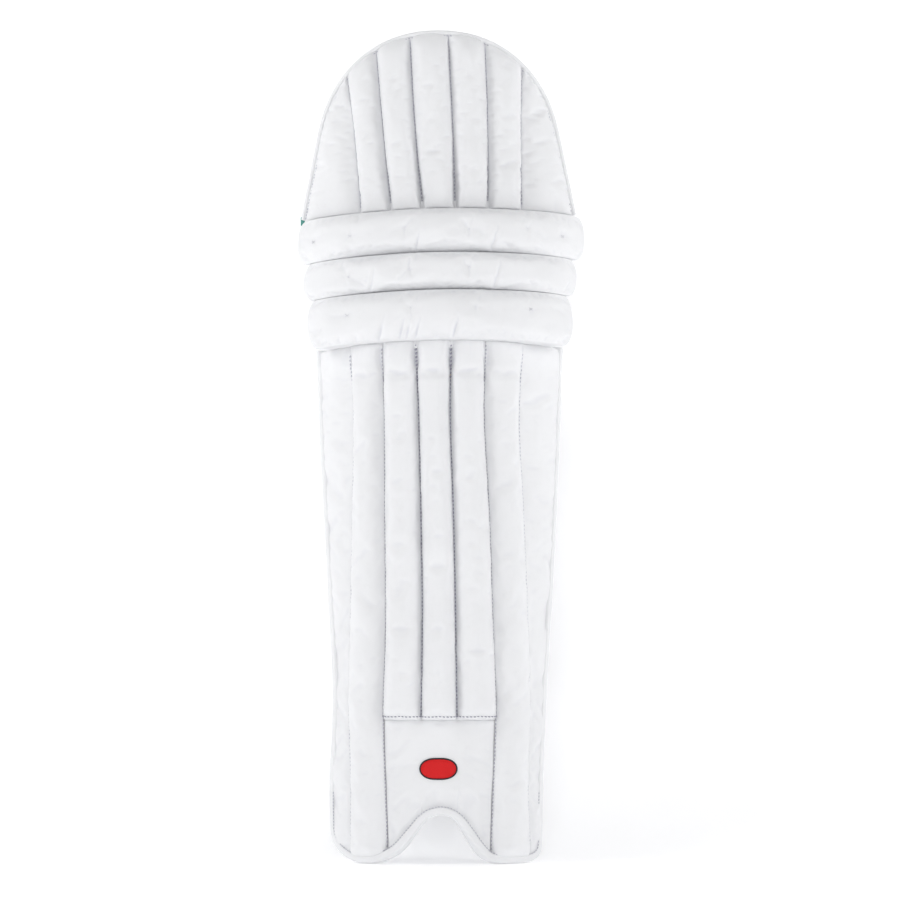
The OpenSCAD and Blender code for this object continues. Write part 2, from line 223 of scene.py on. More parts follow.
def dress(obj, body, slot, *nodes):
    """Fixes a piece to its body and hides the CAD nodes it stands in for. Its slot argument is not used."""
    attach(obj, body)
    if nodes:
        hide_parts(*nodes)


def padded(name, front, back, material, cloth, sharp=55, smooth=True):
    """A closed pad between two grids of points. cloth is the grid that gives its weave."""
    rows, cols = front.shape[:2]
    n = rows * cols
    loop = np.concatenate([np.arange(cols), np.arange(2 * cols - 1, n, cols),
                           np.arange(n - 2, n - cols - 1, -1), np.arange(n - 2 * cols, 0, -cols)])
    after = np.roll(loop, -1)
    faces = np.concatenate([grid_faces(rows, cols), grid_faces(rows, cols, n)[:, ::-1],
                            np.stack([after, loop, loop + n, after + n], 1)])
    verts = np.concatenate([front.reshape(-1, 3), back.reshape(-1, 3)])
    flat = np.concatenate([cloth_grid(cloth).reshape(-1, 2)] * 2)
    return make_object(name, verts, faces, material, flat, sharp, smooth)


def pad(name, body, front, back, material, *nodes, lean=False, cloth=None, **finish):
    """A closed pad on its body, in place of CAD nodes. lean carries it over with the knee section."""
    shown = (knee(front), knee(back)) if lean else (front, back)
    obj = padded(name, *shown, material, front if cloth is None else cloth, **finish)
    dress(obj, body, slot_of(material), *nodes)


def lens(name, rings, material, sharp=40):
    """A closed disc from rings of points, from the middle of its face round to the middle of its back."""
    n = len(rings[0])
    i = np.arange(n * (len(rings) - 1))
    a, b = i // n, i % n
    after = (b + 1) % n
    faces = np.stack([a * n + b, a * n + after, (a + 1) * n + after, (a + 1) * n + b], 1).tolist()
    faces += [list(range(n - 1, -1, -1)), list(range(n * (len(rings) - 1), n * len(rings)))]
    return make_object(name, np.concatenate(rings), faces, material, sharp=sharp)


def cloth_grid(front):
    """Distances in mm along the rows and columns of a grid, as its flat cloth coordinates."""
    across = np.linalg.norm(np.diff(front, axis=1), axis=2)
    up = np.linalg.norm(np.diff(front, axis=0), axis=2)
    u = np.concatenate([np.zeros((front.shape[0], 1)), np.cumsum(across, 1)], 1)
    v = np.concatenate([np.zeros((1, front.shape[1])), np.cumsum(up, 0)], 0)
    return np.stack([u - u[:, front.shape[1] // 2][:, None], v], -1)


def distance_to(points, targets):
    """Distance in mm from each point to the nearest target."""
    tree = KDTree(len(targets))
    for n, target in enumerate(targets):
        tree.insert(target, n)
    tree.balance()
    return np.array([tree.find(point)[2] for point in points])


def inflate(grid, pinned, pressure=2.0, cap=1.6, frames=14, outward=(0, -1, 0)):
    """Blows a sewn sheet up by cloth simulation, held at its seams, and caps how far a point moves."""
    rows, cols = grid.shape[:2]
    faces = grid_faces(rows, cols)
    p = grid.reshape(-1, 3)
    q = p[faces]
    normal = np.cross(q[:, 2] - q[:, 0], q[:, 3] - q[:, 1]).sum(0)
    if normal @ np.array(outward) < 0:
        faces = faces[:, ::-1]
    mesh = bpy.data.meshes.new("sheet")
    mesh.from_pydata((p * MM).tolist(), [], faces.tolist())
    obj = add_object("sheet", mesh)
    group = obj.vertex_groups.new(name="held")
    group.add(np.flatnonzero(pinned.ravel()).tolist(), 1.0, "REPLACE")
    cloth = obj.modifiers.new("Cloth", "CLOTH")
    s = cloth.settings
    s.quality = 6
    s.mass = 0.25
    s.tension_stiffness = 25
    s.compression_stiffness = 25
    s.shear_stiffness = 12
    s.bending_stiffness = 0.6
    s.use_pressure = True
    s.uniform_pressure_force = pressure
    s.vertex_group_mass = "held"
    s.shrink_min = -0.015
    s.effector_weights.gravity = 0
    cloth.collision_settings.use_collision = False
    cloth.point_cache.frame_start = 1
    cloth.point_cache.frame_end = frames
    for f in range(1, frames + 1):
        bpy.context.scene.frame_set(f)
    done = obj.evaluated_get(bpy.context.evaluated_depsgraph_get()).data
    co = np.zeros(len(p) * 3, np.float32)
    done.vertices.foreach_get("co", co)
    move = co.reshape(-1, 3) / MM - p
    length = np.linalg.norm(move, axis=1, keepdims=True)
    limit = cap * smooth_step(distance_to(p, p[pinned.ravel()]), 0, 7)[:, None]
    move = move * np.minimum(1, limit / np.maximum(length, 1e-6))
    bpy.data.objects.remove(obj)
    bpy.data.meshes.remove(mesh)
    bpy.context.scene.frame_set(1)
    return (p + move).reshape(rows, cols, 3)


def rounded_profile(width, height, power=3.5, points=20):
    """A closed rounded-rectangle section. x runs from -width to 0, y from -height/2 to height/2."""
    t = np.linspace(0, 2 * np.pi, points, endpoint=False)
    c, s = np.cos(t), np.sin(t)
    x = np.sign(c) * np.abs(c) ** (2 / power) * width / 2 - width / 2
    y = np.sign(s) * np.abs(s) ** (2 / power) * height / 2
    return np.stack([x, y], 1)


def firm_ends(values):
    """Adds a value close to each end, so that subdivision keeps the ends square."""
    near_start = values[:1] * 0.85 + values[1:2] * 0.15
    near_end = values[-1:] * 0.85 + values[-2:-1] * 0.15
    return np.concatenate([values[:1], near_start, values[1:-1], near_end, values[-1:]])


def sweep(name, path, outward, normal, profile, material, wobble, closed=False):
    """A section carried along a path. Its x follows outward and its y follows normal."""
    if not closed:
        path, outward, normal, wobble = (firm_ends(values) for values in (path, outward, normal, wobble))
    n, m = len(path), len(profile)
    px = np.broadcast_to(profile[:, 0], (n, m))
    py = profile[:, 1] * (1 + wobble[:, None])
    verts = path[:, None] + px[..., None] * outward[:, None] + py[..., None] * normal[:, None]
    i = np.arange((n if closed else n - 1) * m)
    a, b = i // m, i % m
    after = (b + 1) % m
    ahead = (a + 1) % n
    faces = np.stack([a * m + b, a * m + after, ahead * m + after, ahead * m + b], 1).tolist()
    if not closed:
        faces.append(list(range(m)))
        faces.append([(n - 1) * m + k for k in range(m - 1, -1, -1)])
    along = length_along(path)
    around = length_along(profile)
    flat = np.stack(np.broadcast_arrays(around[None], along[:, None]), -1).reshape(-1, 2)
    return make_object(name, verts.reshape(-1, 3), faces, material, flat, sharp=60, smooth=True)


def length_along(path):
    return np.concatenate([[0], np.cumsum(np.linalg.norm(np.diff(path, axis=0), axis=1))])


def resample(path, step, *others):
    """Points every step mm along a polyline, with any other per-point values carried along."""
    length = length_along(path)
    at = np.arange(step / 2, length[-1], step)
    out = [np.stack([np.interp(at, length, a[:, k]) for k in range(3)], 1) for a in (path, *others)]
    return out if others else out[0]


STITCH_SIDES = 6


def stitch_shape():
    """One thread stitch as rings along its length: a rounded grain that dips at both ends."""
    rings = [(-0.5, 0.25, -0.9), (-0.42, 0.75, -0.25), (-0.2, 1.0, 0.2), (0.2, 1.0, 0.2), (0.42, 0.75, -0.25),
             (0.5, 0.25, -0.9)]
    verts, faces = [], []
    for along, radius, lift in rings:
        for k in range(STITCH_SIDES):
            a = 2 * math.pi * k / STITCH_SIDES
            verts.append((along, radius * math.cos(a), radius * math.sin(a) + lift))
    for r in range(len(rings) - 1):
        for k in range(STITCH_SIDES):
            j = (k + 1) % STITCH_SIDES
            base = r * STITCH_SIDES
            faces.append((base + k, base + j, base + STITCH_SIDES + j, base + STITCH_SIDES + k))
    return np.array(verts), faces


def stitches(name, runs, material, length=2.3, pitch=3.3, radius=0.42, lift=0.25, slant=0.12):
    """Thread stitches along runs of (points, surface normals)."""
    shape, shape_faces = stitch_shape()
    verts, faces = [], []
    for points, normals in runs:
        at, up = resample(points, pitch, normals)
        if len(at) < 2:
            continue
        along = unit(np.gradient(at, axis=0))
        up = unit(up - (up * along).sum(1, keepdims=True) * along)
        side = np.cross(along, up)
        along = unit(along + slant * side)
        side = np.cross(along, up)
        centre = at + up * lift
        placed = (centre[:, None] + shape[None, :, 0, None] * length * along[:, None]
                  + shape[None, :, 1, None] * radius * side[:, None]
                  + shape[None, :, 2, None] * radius * up[:, None])
        for k in range(len(at)):
            base = len(verts) * len(shape)
            verts.append(placed[k])
            faces.extend([[base + i for i in f] for f in shape_faces])
            faces.append([base + i for i in range(STITCH_SIDES - 1, -1, -1)])
            faces.append([base + len(shape) - STITCH_SIDES + i for i in range(STITCH_SIDES)])
    return make_object(name, np.concatenate(verts), faces, material, sharp=80)


def sew(name, body, runs, material, slot="white_cover", **size):
    dress(stitches(name, runs, material, **size), body, slot)


# ---- Materials ----

class Nodes:
    """A short way to wire a procedural material."""

    def __init__(self, name):
        self.material = bpy.data.materials.new(name)
        self.material.use_nodes = True
        self.tree = self.material.node_tree
        self.shader = self.tree.nodes["Principled BSDF"]

    def add(self, kind, inputs=None, **settings):
        node = self.tree.nodes.new(kind)
        for key, value in settings.items():
            setattr(node, key, value)
        for key, value in (inputs or {}).items():
            self.set(node, key, value)
        return node

    def set(self, node, key, value):
        if isinstance(value, bpy.types.NodeSocket):
            self.tree.links.new(value, node.inputs[key])
        else:
            node.inputs[key].default_value = value

    def object_mm(self):
        place = self.add("ShaderNodeTexCoord").outputs["Object"]
        scale = (1 / MM,) * 3
        return self.add("ShaderNodeVectorMath", {0: place, 1: scale}, operation="MULTIPLY").outputs[0]

    def cloth_mm(self):
        return self.add("ShaderNodeAttribute", attribute_name="cloth_mm").outputs["Vector"]

    def noise(self, place, scale, detail=3.0, roughness=0.55):
        return self.add("ShaderNodeTexNoise", {"Vector": place, "Scale": scale, "Detail": detail,
                                               "Roughness": roughness}).outputs["Fac"]

    def cells(self, place, scale, **settings):
        node = self.add("ShaderNodeTexVoronoi", {"Vector": place, "Scale": scale}, **settings)
        return node.outputs["Distance"]

    def math(self, operation, a, b=0.0):
        return self.add("ShaderNodeMath", {0: a, 1: b}, operation=operation).outputs[0]

    def times(self, a, b):
        return self.math("MULTIPLY", a, b)

    def plus(self, a, b):
        return self.math("ADD", a, b)

    def mix(self, fac, a, b):
        node = self.add("ShaderNodeMix", data_type="RGBA")
        self.set(node, 0, fac)
        self.set(node, 6, a)
        self.set(node, 7, b)
        return node.outputs[2]

    def ramp(self, value, low, high):
        return self.add("ShaderNodeMapRange", {"Value": value, "From Min": low, "From Max": high}).outputs[0]

    def bump(self, height, strength, distance, normal=None):
        node = self.add("ShaderNodeBump", {"Height": height, "Strength": strength, "Distance": distance})
        if normal is not None:
            self.set(node, "Normal", normal)
        return node.outputs[0]

    def split(self, place):
        return self.add("ShaderNodeSeparateXYZ", {0: place}).outputs

    def finish(self, color, roughness, normal, **extra):
        self.set(self.shader, "Base Color", color)
        self.set(self.shader, "Roughness", roughness)
        self.set(self.shader, "Normal", normal)
        for key, value in extra.items():
            self.set(self.shader, key, value)
        return self.material


def rgb(r, g, b):
    return (r, g, b, 1.0)


def coated_cloth(name, light, shade, grain=1.0, gloss=0.42):
    """White polyurethane on cloth: pebbled grain, soft blotches, painted shade in seams and creases, and
    scuffed crowns.
    """
    n = Nodes(name)
    place = n.object_mm()
    blotch = n.noise(place, 0.02, 4)
    scuff = n.ramp(n.noise(place, 0.16, 6, 0.7), 0.56, 0.74)
    # Painted shade: concave places such as seams and creases (low pointiness) have their colour mixed towards
    # the shade colour.
    point = n.add("ShaderNodeNewGeometry").outputs["Pointiness"]
    painted_crease_shade = n.ramp(point, 0.5, 0.42)
    pebble = n.cells(place, 0.85, feature="SMOOTH_F1")
    fine = n.noise(place, 2.4, 3)
    color = n.mix(n.ramp(blotch, 0.35, 0.65), light, rgb(*(0.975 * c for c in light[:3])))
    color = n.mix(n.times(painted_crease_shade, 0.75), color, shade)
    color = n.mix(n.times(scuff, 0.10), color, rgb(0.62, 0.61, 0.60))
    rough = n.plus(gloss, n.plus(n.times(fine, 0.10), n.times(scuff, 0.12)))
    height = n.plus(n.times(pebble, 0.7), n.times(fine, 0.45))
    crease = n.noise(place, 0.09, 5, 0.6)
    soft = n.bump(crease, 0.12, 0.0012)
    return n.finish(color, rough, n.bump(height, 0.22 * grain, 0.00022, soft),
                    **{"Specular IOR Level": 0.42, "Sheen Weight": 0.06, "Sheen Roughness": 0.5})


def woven(name, light, dark, pitch, strength=0.5, rough=0.82, twill=0.0):
    """Woven or knitted cloth whose threads follow the piece's own cloth coordinates, pitch in mm."""
    n = Nodes(name)
    place = n.cloth_mm()
    xyz = n.split(place)
    turn = 2 * math.pi / pitch
    across = n.plus(n.times(xyz[0], turn), n.times(xyz[1], turn * twill))
    up = n.times(xyz[1], turn)
    warp = n.math("SINE", across)
    weft = n.math("SINE", up)
    threads = n.times(warp, weft)
    height = n.plus(n.times(threads, 0.5), 0.5)
    fuzz = n.noise(n.object_mm(), 1.6, 4)
    blotch = n.noise(n.object_mm(), 0.03, 3)
    color = n.mix(n.ramp(height, 0.1, 0.9), dark, light)
    color = n.mix(n.times(n.ramp(blotch, 0.35, 0.7), 0.22), color, dark)
    mixed = n.plus(n.times(height, 0.8), n.times(fuzz, 0.35))
    return n.finish(color, n.plus(rough - 0.06, n.times(fuzz, 0.12)),
                    n.bump(mixed, strength, pitch * 0.25 * MM),
                    **{"Sheen Weight": 0.25, "Sheen Roughness": 0.6, "Specular IOR Level": 0.25})


def pile(name, light, dark, size, strength=0.9):
    """Hook or loop pile, or brushed cloth: tufts of the given size in mm."""
    n = Nodes(name)
    place = n.object_mm()
    tufts = n.cells(place, 1 / size)
    fuzz = n.noise(place, 2.2 / size, 5, 0.7)
    height = n.plus(n.times(tufts, -0.7), n.times(fuzz, 0.6))
    color = n.mix(n.ramp(fuzz, 0.3, 0.7), dark, light)
    color = n.mix(n.times(n.ramp(n.noise(place, 0.05, 3), 0.4, 0.7), 0.2), color, dark)
    return n.finish(color, 0.9, n.bump(height, strength, size * 0.3 * MM),
                    **{"Sheen Weight": 0.4, "Sheen Roughness": 0.7, "Specular IOR Level": 0.15})


def thread(name, light, dark):
    """Twisted sewing thread."""
    n = Nodes(name)
    place = n.object_mm()
    twist = n.add("ShaderNodeTexWave", {"Vector": place, "Scale": 1.1, "Distortion": 1.5, "Detail": 2.0},
                  bands_direction="DIAGONAL").outputs["Fac"]
    color = n.mix(n.ramp(twist, 0.1, 0.9), dark, light)
    return n.finish(color, n.plus(0.45, n.times(twist, 0.2)), n.bump(twist, 0.6, 0.00015),
                    **{"Sheen Weight": 0.2})


def foam_material(name, light, dark):
    """Closed-cell foam: fine skin cells and faint saw marks."""
    n = Nodes(name)
    place = n.object_mm()
    cells = n.cells(place, 1.4)
    marks = n.noise(place, 0.12, 5, 0.65)
    color = n.mix(n.ramp(marks, 0.3, 0.7), light, dark)
    return n.finish(color, n.plus(0.8, n.times(cells, 0.15)), n.bump(cells, 0.5, 0.0003),
                    **{"Subsurface Weight": 0.05, "Subsurface Scale": 0.002})


def cane_material(name):
    """Rattan cane: long grain, darker joints along its length, a waxy skin."""
    n = Nodes(name)
    xyz = n.split(n.object_mm())
    stretched = n.add("ShaderNodeCombineXYZ", {0: xyz[0], 1: xyz[1], 2: n.times(xyz[2], 0.04)}).outputs[0]
    grain = n.noise(stretched, 1.6, 6, 0.6)
    joints = n.ramp(n.math("SINE", n.times(xyz[2], 0.11)), 0.96, 1.0)
    color = n.mix(n.ramp(grain, 0.3, 0.7), rgb(0.62, 0.43, 0.20), rgb(0.74, 0.58, 0.33))
    color = n.mix(n.times(joints, 0.6), color, rgb(0.30, 0.18, 0.08))
    return n.finish(color, n.plus(0.38, n.times(grain, 0.15)), n.bump(grain, 0.4, 0.0004),
                    **{"Coat Weight": 0.2, "Coat Roughness": 0.3})


def embroidery(name, light, dark, pitch=0.7):
    """Satin-stitch fill: parallel floss with a soft shine."""
    n = Nodes(name)
    xyz = n.split(n.object_mm())
    rows = n.math("SINE", n.times(n.plus(xyz[2], n.times(xyz[0], 0.35)),
                                 2 * math.pi / pitch))
    fuzz = n.noise(n.object_mm(), 1.1, 4)
    height = n.plus(n.times(rows, 0.5), fuzz)
    color = n.mix(n.ramp(height, 0.1, 1.0), dark, light)
    return n.finish(color, n.plus(0.42, n.times(fuzz, 0.2)), n.bump(height, 0.6, 0.00018),
                    **{"Sheen Weight": 0.05, "Sheen Roughness": 0.35, "Specular IOR Level": 0.3})


WHITE = rgb(0.845, 0.850, 0.865)
# Bluish grey painted into the cover's seams and creases as shade.
PAINTED_SEAM_SHADE = rgb(0.56, 0.57, 0.66)
cover_mat = coated_cloth("white_cover", WHITE, PAINTED_SEAM_SHADE)
binding_mat = coated_cloth("binding_tape", rgb(0.84, 0.845, 0.86), PAINTED_SEAM_SHADE, grain=0.7, gloss=0.38)
knit_mat = woven("knit_lining", rgb(0.70, 0.72, 0.75), rgb(0.46, 0.48, 0.53), 1.7, 0.7)
bolster_mat = woven("bolster_cloth", rgb(0.76, 0.77, 0.80), rgb(0.60, 0.61, 0.65), 0.9, 0.45, twill=0.5)
webbing_mat = woven("webbing", rgb(0.83, 0.83, 0.85), rgb(0.62, 0.63, 0.67), 1.25, 0.8, twill=1.0)
pile_mat = pile("hook_and_loop", rgb(0.80, 0.80, 0.82), rgb(0.58, 0.59, 0.62), 0.9)
thread_mat = thread("seam_thread", rgb(0.66, 0.66, 0.72), rgb(0.40, 0.40, 0.48))
dark_thread_mat = thread("dark_thread", rgb(0.50, 0.50, 0.57), rgb(0.24, 0.24, 0.32))
pale_thread_mat = thread("pale_thread", rgb(0.80, 0.80, 0.83), rgb(0.58, 0.58, 0.64))
green_mat = woven("green_trim", rgb(0.02, 0.34, 0.28), rgb(0.01, 0.16, 0.14), 0.9, 0.8, twill=1.0)
foam_mat = foam_material("foam", rgb(0.78, 0.79, 0.80), rgb(0.66, 0.67, 0.69))
cane_mat = cane_material("cane")
badge_mat = embroidery("badge_red", rgb(0.80, 0.008, 0.010), rgb(0.58, 0.004, 0.006))
badge_edge_mat = embroidery("badge_edge", rgb(0.030, 0.032, 0.040), rgb(0.008, 0.008, 0.010), 0.9)
web_mat = woven("gusset_cloth", rgb(0.62, 0.63, 0.68), rgb(0.45, 0.46, 0.52), 0.8, 0.4)


# ---- Shin section: where its seams and edges run ----

SEAM_Z = [20, 60, 133, 200, 300, 400, 452]
SEAM_X = [
    [-75.5, -75.2, -76.9, -75.8, -74.0, -73.2, -76.0],
    [-44.5, -46.0, -48.0, -45.8, -46.6, -47.2, -49.0],
    [-15.2, -15.2, -15.2, -14.3, -15.3, -17.8, -20.0],
    [16.2, 16.2, 16.2, 15.4, 13.4, 10.4, 11.2],
    [46.0, 47.5, 50.0, 47.6, 44.3, 39.5, 41.0],
    [78.5, 77.0, 78.4, 77.0, 73.2, 69.5, 73.0],
]
EDGE_R = VALLEY_R + 3.5
EDGE_Z = [20, 60, 140, 230, 320, 450]
OUTER_EDGE_X = [95.5, 96.0, 93.2, 97.0, 102.0, 107.9]
INNER_EDGE_X = [91.5, 92.0, 95.0, 100.2, 104.8, 109.5]


def edge_half_width(z, side):
    """Half-width on one side (-1 outer, 1 inner), seen from the front: it widens to the knee and the foot."""
    return curve(z, EDGE_Z, OUTER_EDGE_X if side < 0 else INNER_EDGE_X)


def seam_angle(k, z):
    """Angle of seam k at height z. Seams 0 and 7 are the rear edges."""
    if k in (0, 7):
        side = -1 if k == 0 else 1
        return side * np.degrees(np.arcsin(edge_half_width(z, side) / EDGE_R))
    return np.degrees(np.arcsin(curve(z, SEAM_Z, SEAM_X[k - 1]) / VALLEY_R))


def panel_angle(c, z):
    """Angle at panel coordinate c: seam 2 is c = 2, and the middle of the next channel is c = 2.5."""
    seams = np.stack([seam_angle(k, z) for k in range(8)], -1)
    k = np.clip(np.floor(c).astype(int), 0, 6)
    f = c - k
    low = np.take_along_axis(seams, k[..., None], -1)[..., 0]
    high = np.take_along_axis(seams, k[..., None] + 1, -1)[..., 0]
    return low + f * (high - low)


def lower_outline():
    """The foot end: two lobes with an arch between them, as x and z from left to right.

    Each circle is its centre's x and z, and its radius.
    """
    def arc(cx, cz, r, start, end, n=14):
        a = np.radians(np.linspace(start, end, n))
        return np.stack([cx + r * np.cos(a), cz + r * np.sin(a)], 1)

    outer_corner, outer_lobe, arch = (-67, 28.5, 28.5), (-67, 50, 50), (2.0, 23.5, 20.0)
    inner_lobe, inner_corner = (57, 26, 26), (79, 12.5, 12.5)

    def slope(cx, cz, r):
        dx, dz = abs(arch[0] - cx), arch[1] - cz
        return math.degrees(math.atan2(dz, dx) + math.asin((r + arch[2]) / math.hypot(dx, dz)))

    left, right = slope(*outer_lobe), slope(*inner_lobe)
    return np.concatenate([
        arc(*outer_corner, 180, 270), arc(*outer_lobe, 270, 270 + left)[1:],
        arc(*arch, 90 + left, 90 - right), arc(*inner_lobe, 270 - right, 270),
        arc(*inner_corner, 270, 360)[1:]])


OUTLINE = lower_outline()


def outline_z(x):
    """Height of the foot end at x, with the steep outer corners folded into the last few millimetres."""
    order = np.argsort(OUTLINE[:, 0], kind="stable")
    return np.interp(x, OUTLINE[order, 0], OUTLINE[order, 1])


def shin_bottom(c, inset):
    """Lower end of the column at panel coordinate c, inset from the outline."""
    z = np.full(np.shape(c), 15.0)
    for _ in range(8):
        x = VALLEY_R * np.sin(np.radians(panel_angle(c, z)))
        z = outline_z(x)
    return z + inset


def shin_columns(c_from, c_to, per_panel):
    steps = []
    for k in range(int(c_from), int(c_to)):
        steps.extend(k + cosine_steps(per_panel)[:-1])
    steps.append(c_to)
    return np.array(steps)


def near(distance, reach):
    return np.exp(-np.clip(distance, 0, None) / reach)


def pucker(along_mm, distance_mm, depth, pitch, seed):
    """Small tucks where the thread pulls the cover, fading away from the seam."""
    rng = np.random.default_rng(seed)
    drift = rng.uniform(0, 6.28)
    wave = np.cos(2 * np.pi * along_mm / pitch + 1.3 * np.sin(along_mm / 23 + drift) + drift)
    return -depth * (0.6 + 0.4 * wave) * near(distance_mm, 2.6)


# Radius of each seam's valley, and the crown of each panel between two seams.
SEAM_R = np.array([110.5, 110.6, 109.0, 106.6, 106.6, 109.0, 110.6, 110.5])
PANEL_TOP_R = np.array([112.8, 118.4, 119.6, 120.2, 119.6, 118.4, 112.8])
PANEL_POWER = np.array([2.0, 2.5, 2.9, 2.9, 2.9, 2.5, 2.0])
MM_PER_PANEL = 30
INSTEP_R = 108.6
TUCK = 5
FACE_INSET = 4.0
NEAR_TOP_Z = 445.0


NARROWING_DROP = 14
DIMPLE_DROP = 28
MIDDLE_PANELS = (1, 2, 3, 4, 5)


def channel_r(c, z, top_z, bottom_z, seed):
    """Radius of the shin cover at panel coordinate c and height z."""
    k = np.clip(np.floor(c).astype(int), 0, 6)
    f = c - k
    base = SEAM_R[k] + f * (SEAM_R[k + 1] - SEAM_R[k])
    to_seam = np.minimum(f, 1 - f) * MM_PER_PANEL
    below_top = top_z - z
    spread = np.exp(-((below_top - NARROWING_DROP) / 15) ** 2) * np.isin(k, MIDDLE_PANELS)
    from_middle = np.clip(np.abs(2 * f - 1) * (1 + 0.16 * spread), 0, 1)
    section = (1 - from_middle ** PANEL_POWER[k]) ** 0.56
    above_end = z - bottom_z
    top_pinch = 0.58 + 0.42 * smooth_step(below_top, 0, 24)
    dimple = 1 - 0.24 * np.exp(-((below_top - DIMPLE_DROP) / 5) ** 2)
    end_round = round_off(above_end, 11)
    base = base + 1.6 * spread
    if bottom_z.min() > 100:
        base = base + np.maximum(INSTEP_R - base, 0) * np.exp(-above_end / 3)
    r = base + (PANEL_TOP_R[k] - base) * section * top_pinch * dimple * end_round
    across = c * MM_PER_PANEL
    r = r + 0.40 * ripples(seed, 60)(across, z) * section + 0.14 * ripples(seed + 1, 17)(across, z) * section
    r = r - 0.30 * np.exp(-((f - 0.5) * MM_PER_PANEL / 1.6) ** 2) * np.isin(k, MIDDLE_PANELS)
    r = r + pucker(z, to_seam, 0.75, 6.5, seed + 2) * end_round
    r = r + pucker(across, above_end, 0.4, 6.0, seed + 3) + pucker(across, below_top, 1.2, 11.0, seed + 4)
    return r


def shin_grid(c_from, c_to, bottom, seed, rows=120):
    """Front surface of part of the shin cover, as a grid, with its angles, heights and columns."""
    columns = shin_columns(c_from, c_to, 14)
    low = bottom(columns)
    high = shin_top_z(panel_angle(columns, np.full(len(columns), NEAR_TOP_Z)), 112)
    v = cosine_steps(rows - 1)[:, None] * 0.35 + np.linspace(0, 1, rows)[:, None] * 0.65
    z = low[None] + (high - low)[None] * v
    c = np.broadcast_to(columns, z.shape)
    angle = panel_angle(c, z)
    return ring(angle, channel_r(c, z, high[None], low[None], seed), z), angle, z, columns


def shin_cover(name, c_from, c_to, bottom, seed, *nodes):
    """One sewn part of the shin cover with its padding, from panel coordinate c_from to c_to."""
    front, angle, z, columns = shin_grid(c_from, c_to, bottom, seed)
    held = np.broadcast_to(np.abs(columns - np.round(columns)) < 1e-6, z.shape).copy()
    held[0] = held[-1] = True
    front = inflate(front, held)
    back = ring(angle, BOARD_R + 0.6, z)
    pad(name, "shin_guard", front, back, cover_mat, *nodes)
    return columns, front


def radial(points, axis_y=0.0):
    return unit(points * np.array([1, 1, 0]) - np.array([0, axis_y, 0]))


def column_run(columns, front, c, from_end=2.0, lift=0.0):
    """Points and normals down the seam at panel coordinate c."""
    i = int(np.argmin(np.abs(columns - c)))
    points = front[:, i]
    keep = (points[:, 2] > points[0, 2] + from_end) & (points[:, 2] < points[-1, 2] - from_end)
    points = points[keep]
    out = radial(points)
    return points + out * lift, out


def instep_top(c):
    return np.full(len(c), INSTEP_Z)


def foot_edge(c):
    return shin_bottom(c, FACE_INSET)


centre_cols, centre = shin_cover("shin_channels_centre", 2, 5, instep_top, 11, "shin_face_centre",
                                 "centre_foam_bars")
outer_cols, outer = shin_cover("shin_side_outer", 0, 2, foot_edge, 21, "shin_face_outer", "side_foam_bars")
inner_cols, inner = shin_cover("shin_side_inner", 5, 7, foot_edge, 31, "shin_face_inner", "side_foam_bars")


def instep_pad():
    """The plain panel over the instep, slightly puffed between its seams."""
    columns = shin_columns(2, 5, 12)
    low = foot_edge(columns)
    rows = 46
    v = np.linspace(0, 1, rows)[:, None]
    z = low[None] + (INSTEP_Z + TUCK - low)[None] * v
    c = np.broadcast_to(columns, z.shape)
    across = (c - 2) / 3
    to_side = np.minimum(across, 1 - across) * 3 * MM_PER_PANEL
    to_edge = np.minimum(to_side, np.minimum(z - low[None], np.clip(INSTEP_Z - z, 0, None)))
    r = INSTEP_R + 2.6 * smooth_step(to_edge, -2, 14) + 0.25 * ripples(41, 38)(c * MM_PER_PANEL, z)
    r = r + pucker(z + 40 * across, to_edge, 0.6, 6.0, 42) - 0.8 * np.clip(z - INSTEP_Z + 0.5, 0, None)
    angle = panel_angle(c, z)
    front = ring(angle, r, z)
    front = inflate(front, border(z.shape))
    pad("instep_pad", "shin_guard", front, ring(angle, BOARD_R + 0.6, z), cover_mat, "instep_panel",
        "instep_foam")


instep_pad()


def patch():
    """A plain oval patch with satin fill and an overlocked edge, laid on the instep panel."""
    low, high = box_mm("badge")
    half_w, half_h = (high[0] - low[0]) / 2, (high[2] - low[2]) / 2
    centre_z = (high[2] + low[2]) / 2
    turns = np.linspace(0, 2 * np.pi, 73)
    flat_half = half_w - half_h

    def at(scale, r):
        c = np.cos(turns)
        x = scale * half_h * c + np.sign(c) * np.abs(c) ** 0.4 * flat_half * scale
        z = centre_z + scale * half_h * np.sin(turns)
        return ring(np.degrees(np.arcsin(x / 112)), r, z)

    face = [(0.06, 113.8), (0.3, 113.8), (0.6, 113.75), (0.84, 113.65), (0.9, 113.3), (0.9, 111.0),
            (0.06, 111.0)]
    obj = lens("instep_patch", [at(scale, r)[:-1] for scale, r in face], badge_mat)
    dress(obj, "shin_guard", "badge_red", "badge")
    edge = at(0.93, 113.3)
    sew("instep_patch_edge", "shin_guard", [(edge, radial(edge))], badge_edge_mat, "badge_red", length=1.5,
        pitch=0.85, radius=0.62, lift=0.0, slant=4.0)


patch()


def guard_edge():
    """Front-view line of the bound edge, from the top of the outer side round the foot to the inner side."""
    z_left, z_right = np.linspace(446.5, 40.0, 60), np.linspace(28.0, 449.5, 60)
    left = np.stack([-edge_half_width(z_left, -1), z_left], 1)
    right = np.stack([edge_half_width(z_right, 1), z_right], 1)
    left = left[left[:, 1] > 44]
    right = right[right[:, 1] > 32]
    line = np.concatenate([left, OUTLINE, right])
    flat = np.stack([line[:, 0], 0 * line[:, 0], line[:, 1]], 1)
    flat = resample(flat, 3.0)
    for _ in range(3):
        flat[1:-1] = (flat[:-2] + 2 * flat[1:-1] + flat[2:]) / 4
    return flat[:, 0], flat[:, 2]


